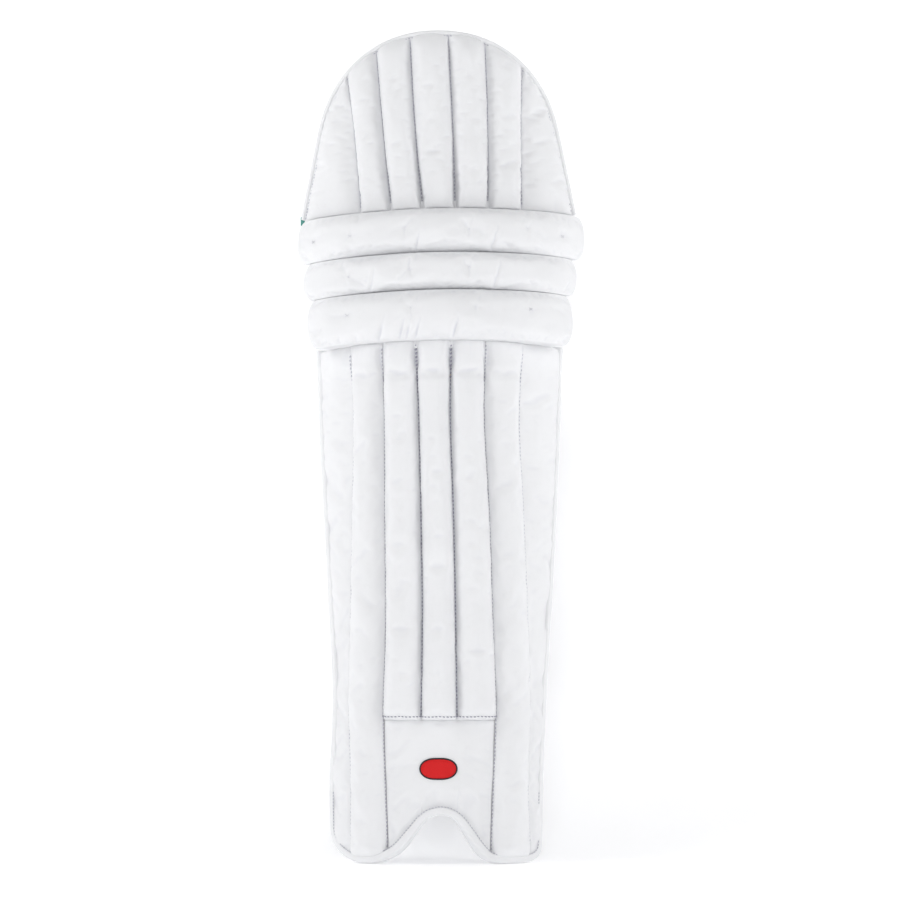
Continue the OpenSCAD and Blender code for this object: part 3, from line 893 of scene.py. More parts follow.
def edge_binding():
    """Folded tape round the shin section's edge, from the cover's face to the lining."""
    x, z = guard_edge()
    face_r = EDGE_R - 0.4
    angle = np.degrees(np.arcsin(np.clip(x / face_r, -1, 1)))
    depth = face_r - (LINING_R - 1.5)
    mid_r = face_r - depth / 2
    path = ring(angle, mid_r, z)
    out = radial(path)
    along = unit(np.gradient(path, axis=0))
    side = unit(np.cross(out, along))
    centre_side = side * np.sign((side * (path - np.array([0, 0, 250]))).sum(1).mean())
    puckers = 0.012 * ripples(51, 9)(np.arange(len(x)) * 3.0, 0 * x)
    obj = sweep("shin_edge_binding", path + centre_side * 0.3, centre_side, out,
                rounded_profile(7.6, depth, 5.0, 28), binding_mat, puckers)
    dress(obj, "shin_guard", "binding_tape", "foot_binding", "side_bindings")
    face = ring(angle, face_r, z) - centre_side * 7.0
    low = z < 62
    return face[low], out[low]


edge_run = edge_binding()


# ---- Knee rolls ----

TUFTS = [[(-79, 0.56), (-24, 0.60), (32, 0.60), (80, 0.58)], [(-79, 0.48), (-26, 0.55), (26, 0.55)],
         [(-108, 0.5), (-76, 0.48), (-29, 0.55), (26, 0.50), (77, 0.55), (108, 0.5)]]
CREASES = [[-52, -34, -28, -20, 13], [-60, 48], [46, -20]]
CREASE = [3.4, 1.6, 1.6]
ROLL_END_PULL = 4.5
ROLL_END_ROUND = 9
ROLL_DEPTH = 11.5
ROLL_SIDE_DEPTH = 2.8
ROLL_SQUARENESS = 2.5
LOWER_ROLL_SAG = 1.8


def roll_front(n, seed, columns=150, rows=34):
    """Front of one knee roll in the knee frame: a fat sausage that curves round the knee."""
    base, height, half = ROLL_BASE[n], ROLL_HEIGHT[n] - 0.5, ROLL_HALF_ANGLE[n] + 1.0
    axis_y = ROLL_AXIS_Y[n]
    peak = ROLL_FRONT + axis_y
    a = np.concatenate([-half * (1 - 0.12 * cosine_steps(14)),
                        np.linspace(-0.88 * half, 0.88 * half, columns)[1:-1],
                        half * (0.88 + 0.12 * cosine_steps(14))])
    a = a + ROLL_REACH[n] * np.clip(a / half, 0, None) ** 2 - 1.6 * np.clip(-a / half, 0, None) ** 2
    turn = np.linspace(0, math.pi, rows)
    angle, t = np.meshgrid(a, turn)
    to_end = np.minimum(a[-1] - angle, angle - a[0]) * math.pi / 180 * peak
    end = round_off(to_end, ROLL_END_ROUND)
    under = 1 + 0.35 * (np.cos(t) > 0) * np.cos(t)
    thinning = (ROLL_DEPTH - ROLL_SIDE_DEPTH) * smooth_step(np.abs(angle), 18, 56)
    depth = (ROLL_DEPTH - thinning) * (0.4 + 0.6 * end) * under
    level = peak - 12 * (1 - end)
    swell = np.sin(t) ** (2 / ROLL_SQUARENESS)
    z_mid = base + 0.25 + height / 2
    across = -np.sign(np.cos(t)) * np.abs(np.cos(t)) ** (2 / ROLL_SQUARENESS)
    rounding = 1 - np.sqrt(np.clip(1 - across ** 2, 0, 1))
    angle = angle - ROLL_END_PULL * np.sign(angle) * smooth_step(np.abs(angle) / half, 0.7, 1) * rounding
    z = z_mid + across * (height + 0.4) / 2
    if n == 0:
        z = z - LOWER_ROLL_SAG * np.clip(-across, 0, 1) ** 3
    r = level - depth + depth * swell
    x = r * np.sin(np.radians(angle))
    for tuft_x, tuft_v in TUFTS[n]:
        dx, dz = x - tuft_x, z - base - tuft_v * height
        away = np.hypot(dx / 5.2, dz / 3.6)
        rays = np.cos(5 * np.arctan2(dz, dx) + tuft_x) * (away < 4)
        r = r - 1.5 * np.exp(-away ** 1.5) - 0.35 * np.exp(-away / 1.6) * rays
    for crease_x in CREASES[n]:
        lean = x - crease_x - 0.25 * (z - base)
        fade = np.exp(-(np.clip(z - base - 3, 0, None) / 8) ** 2)
        r = r - CREASE[n] * np.exp(-(lean / 1.9) ** 2) * fade * swell ** 0.4
    r = r + (0.55 * ripples(seed, 70)(x, z) + 0.20 * ripples(seed + 1, 19)(x, z)) * swell
    to_seam = np.minimum(z - base, base + height - z)
    r = r + 0.5 * pucker(angle * 2.3, to_seam, 1.0, 8.5, seed + 2) * swell
    return ring(angle, r, z, axis_y), angle, z


def knee_roll(n, name, seed):
    front, angle, z = roll_front(n, seed)
    front = inflate(front, border(z.shape))
    back = ring(angle, BOARD_R + ROLL_AXIS_Y[n] + 0.6, z, ROLL_AXIS_Y[n])
    pad(name + "_sewn_cover", name, front, back, cover_mat, name + "_cover", name + "_foam", lean=True)
    return front


def roll_back(n, name):
    """The board behind a roll, covered in lining cloth with a turned edge."""
    base, height, half = ROLL_BASE[n], ROLL_HEIGHT[n], ROLL_HALF_ANGLE[n] - 1
    axis_y = ROLL_AXIS_Y[n]
    a = np.linspace(-half, half, 70)
    t = np.linspace(0, 1, 12)
    angle, v = np.meshgrid(a, t)
    z = base + 0.7 + (height - 1.4) * v
    to_edge = np.minimum(np.minimum(v, 1 - v) * height, (half - np.abs(angle)) * 1.7)
    soft = smooth_step(to_edge, 0, 3.5)
    outer_r = BOARD_R + axis_y - 0.4 - 1.0 * (1 - soft)
    inner_r = BOARD_R + axis_y - 5.4 - 0.35 * soft + 1.2 * (1 - soft)
    front, back = ring(angle, outer_r, z, axis_y), ring(angle, inner_r, z, axis_y)
    pad(name + "_covered_board", name, front, back, knit_mat, name + "_board", lean=True)


BAR_HALF_ANGLE = 43.5
BAR_FULLNESS = 17.0
BAR_END = 13


def knee_bar(n, name):
    """The padded bar behind a roll."""
    base, height = ROLL_BASE[n], ROLL_HEIGHT[n]
    axis_y = ROLL_AXIS_Y[n]
    back_r = BOARD_R + axis_y - 6.5
    half = BAR_HALF_ANGLE
    a = half * (1 - 2 * cosine_steps(60))
    turn = np.linspace(0, math.pi, 24)
    angle, t = np.meshgrid(a, turn)
    to_end = (half - np.abs(angle)) * math.pi / 180 * back_r
    end = round_off(to_end, BAR_END)
    z_mid = base + height / 2
    z = z_mid - np.sign(np.cos(t)) * np.abs(np.cos(t)) ** 0.8 * (height - 6.5) / 2 * (0.6 + 0.4 * end)
    swell = np.sin(t) ** 0.85
    r = back_r - 1.5 - (BAR_FULLNESS * swell) * (0.12 + 0.88 * end)
    r = r + 0.5 * ripples(60 + n, 30)(angle * 1.6, z) * swell
    inner_face = ring(angle, r, z, axis_y)
    inner_face = inflate(inner_face, border(z.shape), outward=(0, 1, 0), cap=1.0)
    pad(name.replace("roll", "knee_bar"), name, inner_face, ring(angle, back_r, z, axis_y), bolster_mat,
        name.replace("roll", "knee_bolster"), lean=True)


ROLL_NAMES = ["lower_roll", "middle_roll", "upper_roll"]
roll_fronts = []
for n, roll_name in enumerate(ROLL_NAMES):
    roll_fronts.append(knee_roll(n, roll_name, 100 + 10 * n))
    roll_back(n, roll_name)
    knee_bar(n, roll_name)


# ---- Top hat, in the knee frame ----

HAT_H = 158
HAT_HALF_W = 89
HAT_FLARE = 0.215
HAT_BEVEL = 85
HAT_POWER = 2.3
HAT_LIFT = 1.0
HAT_RIM = 2.6
HAT_RIM_R = 157.0
HAT_SEAM_BASE = [-69, -42, -14, 15, 44, 74]
HAT_SEAM_TOP = [-81, -55.5, -25.5, 8.5, 41, 74]


def hat_outline(inset, points=70):
    """Right half of the hat's outline, from its base up to the middle of the crown, as x and z."""
    t = np.radians(np.linspace(90, 0, points))
    drop = HAT_BEVEL * (1 - np.clip(np.cos(t), 0, 1) ** (2 / HAT_POWER))
    x = (HAT_HALF_W - inset) * np.clip(np.sin(t), 0, 1) ** (2 / HAT_POWER) + HAT_FLARE * drop
    z = ROLLS_H + HAT_H - inset - drop
    base_x = HAT_HALF_W - inset + HAT_FLARE * (HAT_H - 2)
    side = np.linspace(0, 1, 24)[:-1]
    x = np.concatenate([base_x + (x[0] - base_x) * side, x])
    z = np.concatenate([ROLLS_H + HAT_LIFT + (z[0] - ROLLS_H - HAT_LIFT) * side, z])
    return x, z


def outline_height(inset, x):
    ox, oz = hat_outline(inset)
    order = np.argsort(ox)
    return np.interp(np.abs(x), ox[order], oz[order])


def hat_place(x, r, z):
    """A point of the hat: x and z as seen from the front, r about the hat's own axis."""
    angle = np.degrees(np.arcsin(np.clip(x / (HAT_R + 2), -1, 1)))
    return ring(angle, r, z, HAT_AXIS_Y)


def hat_grid(inset, rows, per_panel):
    """x, z and panel coordinate over the hat's face, with columns that follow its fanned seams."""
    outline_x, outline_z = hat_outline(inset)
    columns = shin_columns(0, 7, per_panel)
    v = np.linspace(0, 1, rows)
    base_z = ROLLS_H + HAT_LIFT
    x, z = np.zeros((2, rows, len(columns)))
    for i, c in enumerate(columns):
        seam = min(max(c, 1), 6)
        base_x = np.interp(seam, range(1, 7), HAT_SEAM_BASE)
        top_x = np.interp(seam, range(1, 7), HAT_SEAM_TOP)
        bow = 1.5 * math.sin(seam * 1.7)
        x[:, i] = base_x + (top_x - base_x) * v + bow * np.sin(np.pi * v)
        z[:, i] = base_z + (outline_height(inset, top_x) - base_z) * v
        if c != seam:
            edge_x = np.sign(c - seam) * np.interp(z[:, i], outline_z, outline_x)
            x[:, i] = edge_x + (1 - abs(c - seam)) * (x[:, i] - edge_x)
    return x, z, np.broadcast_to(columns, x.shape)


HAT_FILL_R = 152.5
HAT_LINING_R = 145.2
HAT_LINING_INSET = 6.5
HAT_BINDING_R = 151.2
HAT_TOP_R = np.array([160.5, 163.5, 164.8, 165.4, 164.8, 163.5, 160.5])
HAT_VALLEY_R = np.array([156.5, 155.8, 154.8, 154.0, 154.0, 154.8, 155.8, 156.5])


def top_hat():
    rows = 84
    x, z, c = hat_grid(HAT_RIM, rows, 14)
    k = np.clip(np.floor(c).astype(int), 0, 6)
    f = c - k
    base = HAT_VALLEY_R[k] + f * (HAT_VALLEY_R[k + 1] - HAT_VALLEY_R[k])
    height = z - ROLLS_H
    tight = np.exp(-(np.clip(height - 8, 0, None) / 34) ** 2) * np.isin(k, MIDDLE_PANELS)
    from_middle = np.clip(np.abs(2 * f - 1) * (1 + 0.05 * tight), 0, 1)
    section = (1 - from_middle ** (np.where(np.isin(k, (0, 6)), 2.0, 2.5) + 3.0 * tight)) ** 0.58
    below = outline_height(HAT_RIM, x) - z
    low_round = 0.72 + 0.28 * smooth_step(height, 0, 22)
    top_round = round_off(below, 22)
    deep = np.exp(-np.clip(height - 6, 0, None) / 42)
    swell = (HAT_TOP_R[k] - base + 2.0 * deep) * section * low_round * (0.3 + 0.7 * top_round)
    r = base - 1.6 * deep * np.isin(k, MIDDLE_PANELS) + swell
    at_rim = np.minimum(below, 28 * np.where(k == 0, f, np.where(k == 6, 1 - f, 1)))
    r = np.maximum(r, r + (HAT_RIM_R - r) * np.exp(-np.clip(at_rim, 0, None) / 3.0))
    r = r + (0.5 * ripples(141, 60)(x, z) + 0.16 * ripples(142, 18)(x, z)) * section
    to_seam = np.minimum(f, 1 - f) * 28
    r = r + pucker(z, to_seam, 0.7, 6.5, 143) + pucker(x, below, 0.8, 6.0, 144)
    r = r + pucker(x, height, 0.8, 9.0, 145)
    front = hat_place(x, r, z)
    held = np.abs(c - np.round(c)) < 1e-6
    held[0] = held[-1] = True
    front = inflate(front, held)
    back = hat_place(x, np.full(x.shape, HAT_FILL_R), z)
    pad("top_hat_sewn_cover", "top_hat", front, back, cover_mat, "hat_cover", "hat_foam_bars", lean=True)
    return front, shin_columns(0, 7, 14)


hat_front, hat_cols = top_hat()


def hat_edge(inset, r, step=2.5):
    ox, oz = hat_outline(inset)
    x = np.concatenate([-ox, ox[::-1][1:]])
    z = np.concatenate([oz, oz[::-1][1:]])
    flat = resample(np.stack([x, 0 * x, z], 1), step)
    return hat_place(flat[:, 0], np.full(len(flat), float(r)), flat[:, 2])


def hat_piping():
    """The bound rim of the hat, from its face to the lining."""
    path = knee(hat_edge(2.0, HAT_BINDING_R))
    centre = knee(np.array([0, HAT_AXIS_Y, ROLLS_H + 60.0]))
    axis = knee(np.array([0, HAT_AXIS_Y, 0]))
    out = unit(path - axis[None] * np.array([1, 1, 0]) - path * np.array([0, 0, 1]))
    along = unit(np.gradient(path, axis=0))
    side = unit(np.cross(out, along))
    side = side * np.sign((side * (path - centre)).sum(1).mean())
    out = unit(np.cross(along, side))
    out = out * np.sign((out * np.array([0, -1, 0])).sum(1).mean())
    puckers = 0.012 * ripples(151, 8)(np.arange(len(path)) * 2.5, np.zeros(len(path)))
    profile = rounded_profile(4.4, 13.6, 4.0, 28) + np.array([2.2, 0])
    obj = sweep("top_hat_binding", path, side, out, profile, binding_mat, puckers)
    dress(obj, "top_hat", "binding_tape", "hat_binding")


hat_piping()


def hat_back():
    """Quilted lining behind the hat's board."""
    x, z, _ = hat_grid(HAT_LINING_INSET, 50, 6)
    below = outline_height(HAT_LINING_INSET, x) - z
    to_side = HAT_HALF_W + HAT_FLARE * (HAT_H - z + ROLLS_H) - np.abs(x)
    to_edge = np.minimum(np.minimum(below, z - ROLLS_H), to_side)
    soft = smooth_step(to_edge, 0, 5)
    quilt = np.abs(np.sin((x + z) * math.pi / 34) * np.sin((x - z) * math.pi / 34)) ** 0.5
    front = hat_place(x, np.full(x.shape, HAT_LINING_R + 0.5), z)
    back = hat_place(x, HAT_LINING_R - 0.6 * soft - 1.3 * quilt * soft, z)
    pad("top_hat_quilted_lining", "top_hat", front, back, knit_mat, "hat_lining", lean=True)


hat_back()


def tag():
    """A folded loop of green tape peeping out at the hat's lower outer corner."""
    a = np.linspace(-57.8, -50.5, 12)
    v = np.linspace(0, 1, 10)
    angle, t = np.meshgrid(a, v)
    z = ROLLS_H + 1.0 + 7.5 * t
    bend = 0.3 * np.sin(angle * 1.1)
    front = ring(angle, 143.3 + bend, z, HAT_AXIS_Y)
    back = ring(angle, 141.8 + bend, z, HAT_AXIS_Y)
    pad("hat_corner_tag", "top_hat", front, back, green_mat, "corner_tag", lean=True, sharp=80, smooth=False)


tag()


# ---- Behind the shin ----

def shin_back():
    """Knitted lining of the leg channel, with soft upright quilting."""
    columns = np.linspace(0.3, 6.7, 90)
    low = shin_bottom(columns, 9.5)
    rows = 90
    v = np.linspace(0, 1, rows)[:, None]
    high = shin_top_z(panel_angle(columns, np.full(len(columns), NEAR_TOP_Z)), LINING_R)
    z = low[None] + (high - 1.5 - low)[None] * v
    c = np.broadcast_to(columns, z.shape)
    angle = panel_angle(c, z)
    quilt = np.abs(np.sin(c * math.pi * 1.5)) ** 0.5
    front = ring(angle, LINING_R + 0.5, z)
    back = ring(angle, LINING_R - 0.4 - 0.6 * quilt, z)
    pad("shin_quilted_lining", "shin_guard", front, back, knit_mat, "shin_lining")


shin_back()


BOLSTER_ANGLE = 30
BOLSTER_SPREAD = 18.0
BOLSTER_BACK_R = 90.6
BOLSTER_FULLNESS = 20.5
BOLSTER_END = 26


def soft_bar(name, node, side, seed):
    """An upright bolster beside the shin, full in the middle and rounded at both ends."""
    low, high = box_mm(node)
    bottom, top = low[2], high[2]
    turn = np.linspace(0, math.pi, 26)
    z_line = bottom + (top - bottom) * (cosine_steps(110) * 0.4 + np.linspace(0, 1, 111) * 0.6)
    z, t = np.meshgrid(z_line, turn, indexing="ij")
    to_end = np.minimum(z - bottom, top - z)
    end = round_off(to_end, BOLSTER_END)
    narrow = 0.62 + 0.38 * end
    angle = side * BOLSTER_ANGLE - BOLSTER_SPREAD * narrow * np.cos(t)
    swell = np.sin(t) ** 0.9
    r = BOLSTER_BACK_R - BOLSTER_FULLNESS * swell * (0.08 + 0.92 * end)
    r = r + (0.7 * ripples(seed, 55)(angle * 1.5, z) + 0.2 * ripples(seed + 1, 16)(angle * 1.5, z)) * swell
    r = r - pucker(z, np.minimum(t, math.pi - t) * 18, 0.8, 9.0, seed + 2)
    face = ring(angle, r, z)
    face = inflate(face, border(z.shape), outward=(0, 1, 0), cap=1.2)
    pad(name, "shin_guard", face, ring(angle, LINING_R - 1.7, z), bolster_mat, node)
    middle = face[:, len(turn) // 2]
    keep = (middle[:, 2] > bottom + 20) & (middle[:, 2] < top - 20)
    return middle[keep], -radial(middle[keep])


bolster_runs = [soft_bar("shin_bar_outer", "shin_bolster_outer", -1, 201),
                soft_bar("shin_bar_inner", "shin_bolster_inner", 1, 211)]


# ---- Rear edge of the shin section, on the wing's side ----

ANKLE_Z = 100.0
EDGE_ANGLE_ANKLE = 54
EDGE_ANGLE_TOP = 71
EDGE_TURN = (EDGE_ANGLE_TOP - EDGE_ANGLE_ANKLE) / (SHIN_TOP - ANKLE_Z)


def on_outer_side(angle_deg, z):
    a = math.radians(angle_deg)
    return np.array([-VALLEY_R * math.sin(a), -VALLEY_R * math.cos(a), z])


EDGE_LOW = on_outer_side(EDGE_ANGLE_ANKLE, ANKLE_Z)
EDGE_ALONG = unit(on_outer_side(EDGE_ANGLE_TOP, SHIN_TOP) - EDGE_LOW)
EDGE_MID = math.radians((EDGE_ANGLE_ANKLE + EDGE_ANGLE_TOP) / 2)
EDGE_RADIAL = np.array([-math.sin(EDGE_MID), -math.cos(EDGE_MID), 0])
EDGE_BACK = unit(np.cross(EDGE_RADIAL, EDGE_ALONG))
ANKLE_TURN = math.radians(EDGE_ANGLE_ANKLE)
ANKLE_BACK = np.array([-math.cos(ANKLE_TURN), math.sin(ANKLE_TURN), 0])


def behind_edge(points):
    """How far points lie behind the guard's outer rear edge."""
    return np.minimum((points - EDGE_LOW) @ EDGE_BACK, points @ ANKLE_BACK)


def wrap(angle_deg, r, z):
    """A point on the wrap round the calf; angles run through +X, the back, and -X."""
    a = np.radians(angle_deg)
    return np.stack(np.broadcast_arrays(r * np.sin(a), WRAP_Y - r * np.cos(a), z), -1)


def wing_front_angle(r, z, inset):
    low = np.full(np.shape(z), 230.0)
    high = np.full(np.shape(z), 320.0)
    for _ in range(24):
        middle = (low + high) / 2
        behind = behind_edge(wrap(middle, r, z)) > 3.6 + inset
        low = np.where(behind, middle, low)
        high = np.where(behind, high, middle)
    return (low + high) / 2


def wing_rear_angle(r, z, inset):
    low, high = box_mm("wing_binding")
    reach, corner = high[1] - inset, 40 - inset
    below = np.clip(low[2] + inset + corner - z, 0, corner)
    above = np.clip(z - high[2] + inset + corner, 0, corner)
    y = reach - corner + np.sqrt(np.clip(corner ** 2 - np.maximum(below, above) ** 2, 0, None))
    x = np.sqrt(np.clip(r ** 2 - (y - WRAP_Y) ** 2, 0, None))
    return 180 + np.degrees(np.arcsin(np.clip(x / r, -1, 1)))


WING_INSET = 5.2


def wing_panel():
    """The calf wing: a flat sewn pad, coated outside and knitted inside."""
    low, high = box_mm("wing_binding")
    rows, cols = 120, 50
    z_line = low[2] + WING_INSET + (high[2] - low[2] - 2 * WING_INSET) * (
        cosine_steps(rows - 1) * 0.5 + np.linspace(0, 1, rows) * 0.5)
    u = np.linspace(0, 1, cols)
    z = np.broadcast_to(z_line[:, None], (rows, cols))

    def layer(r_grid):
        front = wing_front_angle(WING_MID_R, z_line, WING_INSET)[:, None]
        rear = wing_rear_angle(WING_MID_R, z_line, WING_INSET)[:, None]
        return wrap(front + (rear - front) * u[None], r_grid, z)

    middle = layer(np.full((rows, cols), WING_MID_R))
    across = np.linalg.norm(np.diff(middle, axis=1), axis=2).sum(1)[:, None]
    to_edge = np.minimum(np.minimum(u[None], 1 - u[None]) * across,
                         np.minimum(z - z_line[0], z_line[-1] - z))
    puff = smooth_step(to_edge, -3, 16)
    wrinkle = 0.45 * ripples(301, 50)(u[None] * across, z) + 0.16 * ripples(302, 15)(u[None] * across, z)
    tuck = pucker(z + u[None] * across, to_edge, 0.5, 7.0, 303)
    outside = layer(WING_OUT_R - 3.2 + 2.2 * puff + wrinkle * puff + tuck)
    outside = inflate(outside, border(z.shape), outward=(-1, 0, 0), cap=0.8)
    core = layer(np.full((rows, cols), WING_IN_R + 2.2))
    inside = layer(WING_IN_R + 1.8 - 1.4 * puff - 0.5 * wrinkle * puff)
    pad("wing_sewn_cover", "wing", outside, core, cover_mat, "wing_cover", "wing_foam")
    pad("wing_knit_lining", "wing", layer(np.full((rows, cols), WING_IN_R + 2.1)), inside, knit_mat,
        "wing_lining", cloth=inside)


wing_panel()


def wing_loop(inset, r):
    """The wing's outline at radius r, as a closed run of points."""
    low, high = box_mm("wing_binding")
    z_up = low[2] + inset + (high[2] - low[2] - 2 * inset) * cosine_steps(150)
    front = wrap(wing_front_angle(r, z_up, inset), r, z_up)
    rear = wrap(wing_rear_angle(r, z_up, inset), r, z_up)[::-1]
    steps = np.linspace(0, 1, 24)[1:-1, None]

    def across(z, start, end):
        return wrap((start + (end - start) * steps[:, 0]), r, np.full(22, z))

    top = across(z_up[-1], wing_front_angle(r, z_up[-1:], inset)[0], wing_rear_angle(r, z_up[-1:], inset)[0])
    bottom = across(z_up[0], wing_rear_angle(r, z_up[:1], inset)[0], wing_front_angle(r, z_up[:1], inset)[0])
    loop = resample(np.concatenate([front, top, rear, bottom, front[:1]]), 2.5)
    for _ in range(3):
        loop = (np.roll(loop, 1, 0) + 2 * loop + np.roll(loop, -1, 0)) / 4
    return loop


def loop_frames(loop, centre, axis_y):
    along = unit(np.roll(loop, -1, 0) - np.roll(loop, 1, 0))
    out = radial(loop, axis_y)
    side = unit(np.cross(out, along))
    side = side * np.sign((side * (loop - centre)).sum(1).mean())
    return side, out


def wing_edge():
    loop = wing_loop(2.9, WING_MID_R)
    centre = wrap(260, WING_MID_R, 250.0)
    side, out = loop_frames(loop, centre, WRAP_Y)
    puckers = 0.012 * ripples(311, 8)(np.arange(len(loop)) * 2.5, np.zeros(len(loop)))
    profile = rounded_profile(5.6, WING_OUT_R - WING_IN_R - 0.4, 4.0, 24) + np.array([2.8, 0])
    obj = sweep("wing_edge_binding", loop, side, out, profile, binding_mat, puckers, closed=True)
    dress(obj, "wing", "binding_tape", "wing_binding")
    run = wing_loop(6.6, WING_OUT_R - 2.7)
    return run, radial(run, WRAP_Y)


wing_run = wing_edge()


# ---- Straps ----

def band(name, body, radii, ends, z_mid, width, material, node, seed, round_from=None, ripple=0.12):
    """A flat strap on the wrap between two radii and two angles, rounded off from the angle round_from on."""
    (r_in, r_out), (a1, a2) = radii, ends
    count = max(10, int(abs(a2 - a1) * math.pi / 180 * r_out / 3))
    a = np.linspace(a1, a2, count)
    if round_from is not None:
        a = np.concatenate([np.linspace(a1, round_from, count), round_from + (a2 - round_from)
                            * np.sin(np.linspace(0, math.pi / 2, 16))[1:]])
    half = np.full(len(a), width / 2)
    if round_from is not None:
        t = np.clip((a - round_from) / (a2 - round_from), 0, 1)
        half = half * (0.30 + 0.70 * np.sqrt(np.clip(1 - t ** 2, 0, 1)))
    v = np.sin(np.linspace(-math.pi / 2, math.pi / 2, 17))
    z = z_mid + v[:, None] * half[None]
    angle = np.broadcast_to(a, z.shape)
    edge = (1 - np.abs(v)[:, None]) * half[None]
    soft = smooth_step(edge, 0, 1.6)
    wave = ripple * ripples(seed, 34)(angle * 1.6, z)
    middle = (r_in + r_out) / 2
    half_t = (r_out - r_in) / 2 - ripple
    outer_face = wrap(angle, middle + half_t * (0.45 + 0.55 * soft) + wave, z)
    inner_face = wrap(angle, middle - half_t * (0.45 + 0.55 * soft) + wave, z)
    pad(name, body, outer_face, inner_face, material, node)


def strap_start(z):
    """Where a strap leaves its anchor, just behind the guard's rear edge."""
    a = math.radians(EDGE_ANGLE_ANKLE + EDGE_TURN * (z + STRAP_W / 2 - ANKLE_Z))
    r = math.sqrt(STRAP_OUT_R ** 2 - (WRAP_Y * math.sin(a)) ** 2) - WRAP_Y * math.cos(a)
    return math.degrees(math.atan2(r * math.sin(a), r * math.cos(a) + WRAP_Y)) + 4


PAD_FROM = 148.8
PAD_SPAN = 62.4
PAD_HALF_W = 24.4
PAD_FULLNESS = 4.3


def calf_pad(strap, z_mid, seed):
    """A small pillow on the inside of a strap, sewn across into three cells."""
    a = PAD_FROM + PAD_SPAN * (cosine_steps(56) * 0.3 + np.linspace(0, 1, 57) * 0.7)
    v = np.sin(np.linspace(-math.pi / 2, math.pi / 2, 25))
    angle, t = np.meshgrid(a, v)
    z = z_mid + t * PAD_HALF_W
    across = (angle - PAD_FROM) / PAD_SPAN
    to_edge = np.minimum(np.minimum(across, 1 - across) * 96, (1 - np.abs(t)) * PAD_HALF_W)
    puff = round_off(to_edge, 9)
    cells = np.abs(np.sin(across * 3 * math.pi)) ** 0.45
    r = STRAP_R - 1.7 - PAD_FULLNESS * puff * (0.35 + 0.65 * cells) + 0.25 * ripples(seed, 22)(angle * 1.5, z)
    face = wrap(angle, r, z)
    held = border(z.shape)
    for cell in (1 / 3, 2 / 3):
        held[:, int(np.argmin(np.abs(a - PAD_FROM - PAD_SPAN * cell)))] = True
    face = inflate(face, held, outward=(0, -1, 0), cap=0.8)
    body = strap + "_strap"
    pad(strap + "_calf_pad", body, face, wrap(angle, STRAP_R - 0.6, z), knit_mat, body + "_pad")


def box_stitch(a1, a2, z_mid, half):
    """A sewn box with a cross in it, as runs of points and normals on the outside of a strap."""
    corners = [(a1, -half), (a2, -half), (a2, half), (a1, half), (a1, -half), (a2, half)]
    lines = [(corners[i], corners[i + 1]) for i in range(5)] + [((a1, half), (a2, -half))]
    runs = []
    for (b1, z1), (b2, z2) in lines:
        t = np.linspace(0, 1, 20)
        p = wrap(b1 + (b2 - b1) * t, STRAP_OUT_R + 0.05, z_mid + z1 + (z2 - z1) * t)
        runs.append((p, radial(p, WRAP_Y)))
    return runs


def strap_parts(n, strap, z_mid):
    """One strap with its anchor, peeling tab, piles and calf pad. Returns the stitch lines of the anchor."""
    start = strap_start(z_mid)
    body, tab = strap + "_strap", strap + "_tab"
    outside = (STRAP_R, STRAP_OUT_R)
    band(strap + "_anchor", "shin_guard", outside, (start - 13.5, start - 1.8), z_mid, STRAP_W, webbing_mat,
         "strap_anchors", 410 + n)
    band(strap + "_webbing", body, outside, (start + 1.8, TAB_FROM - 0.5), z_mid, STRAP_W, webbing_mat,
         body + "_band", 420 + n)
    band(strap + "_webbing_tab", tab, outside, (TAB_FROM + 0.5, TAB_TO), z_mid, STRAP_W, webbing_mat,
         body + "_tab", 430 + n, TAB_TO - 11)
    band(strap + "_hook_pile", tab, (STRAP_R - 1.45, STRAP_R - 0.3), (TAB_FROM + 3, TAB_TO - 3), z_mid,
         STRAP_W - 5, pile_mat, strap + "_hook_patch", 440 + n, TAB_TO - 12, 0.03)
    band(strap + "_loop_pile", "wing", (STRAP_R - 4.1, STRAP_R - 1.9), (TAB_FROM + 3, TAB_TO - 2), z_mid,
         STRAP_W + 5, pile_mat, "loop_patches", 450 + n, ripple=0.04)
    calf_pad(strap, z_mid, 460 + 3 * n)
    half = STRAP_W / 2 - 4
    pad_runs = box_stitch(150.5, 160, z_mid, half) + box_stitch(200, 209.5, z_mid, half)
    sew(strap + "_strap_stitches", body, pad_runs, thread_mat, "webbing")
    sew(strap + "_tab_stitches", tab, box_stitch(232, 250, z_mid, half - 1), thread_mat, "webbing")
    return box_stitch(start - 11.5, start - 3.5, z_mid, half)


anchor_runs = []
for n, (strap, z_mid) in enumerate(STRAPS.items()):
    anchor_runs += strap_parts(n, strap, z_mid)


# ---- Cloth that crosses the joints ----

WEB_HALF_ANGLE = [61, 60, 61, 46]
WEB_R = [108.0, 114.0, 120.0, 154.0]


def web(name, grid, other, start, end, material):
    """A strip of gusset cloth that spans the gap between two bodies."""
    obj = padded(name, grid, other, material, grid, smooth=False)
    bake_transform(obj)


def knee_webs():
    """Folds of cover cloth behind the seams of the knee section."""
    chain = ["shin_guard"] + ROLL_NAMES + ["top_hat"]
    seam_heights, axes = ROLL_BASE + [ROLLS_H], ROLL_AXIS_Y + [HAT_AXIS_Y]
    for n, (base, axis_y, half, r) in enumerate(zip(seam_heights, axes, WEB_HALF_ANGLE, WEB_R)):
        angle, dz = np.meshgrid(np.linspace(-half, half, 60), np.linspace(-8, 8, 17))
        outside = knee(ring(angle, r + 0.6, base + dz, axis_y))
        inside = knee(ring(angle, r - 0.6, base + dz, axis_y))
        middle = np.array([0.0, axis_y - r, base])
        web("fold_" + chain[n + 1], outside, inside, knee(middle - [0, 0, 5]),
            knee(middle + [0, 0, 5]), cover_mat)


knee_webs()


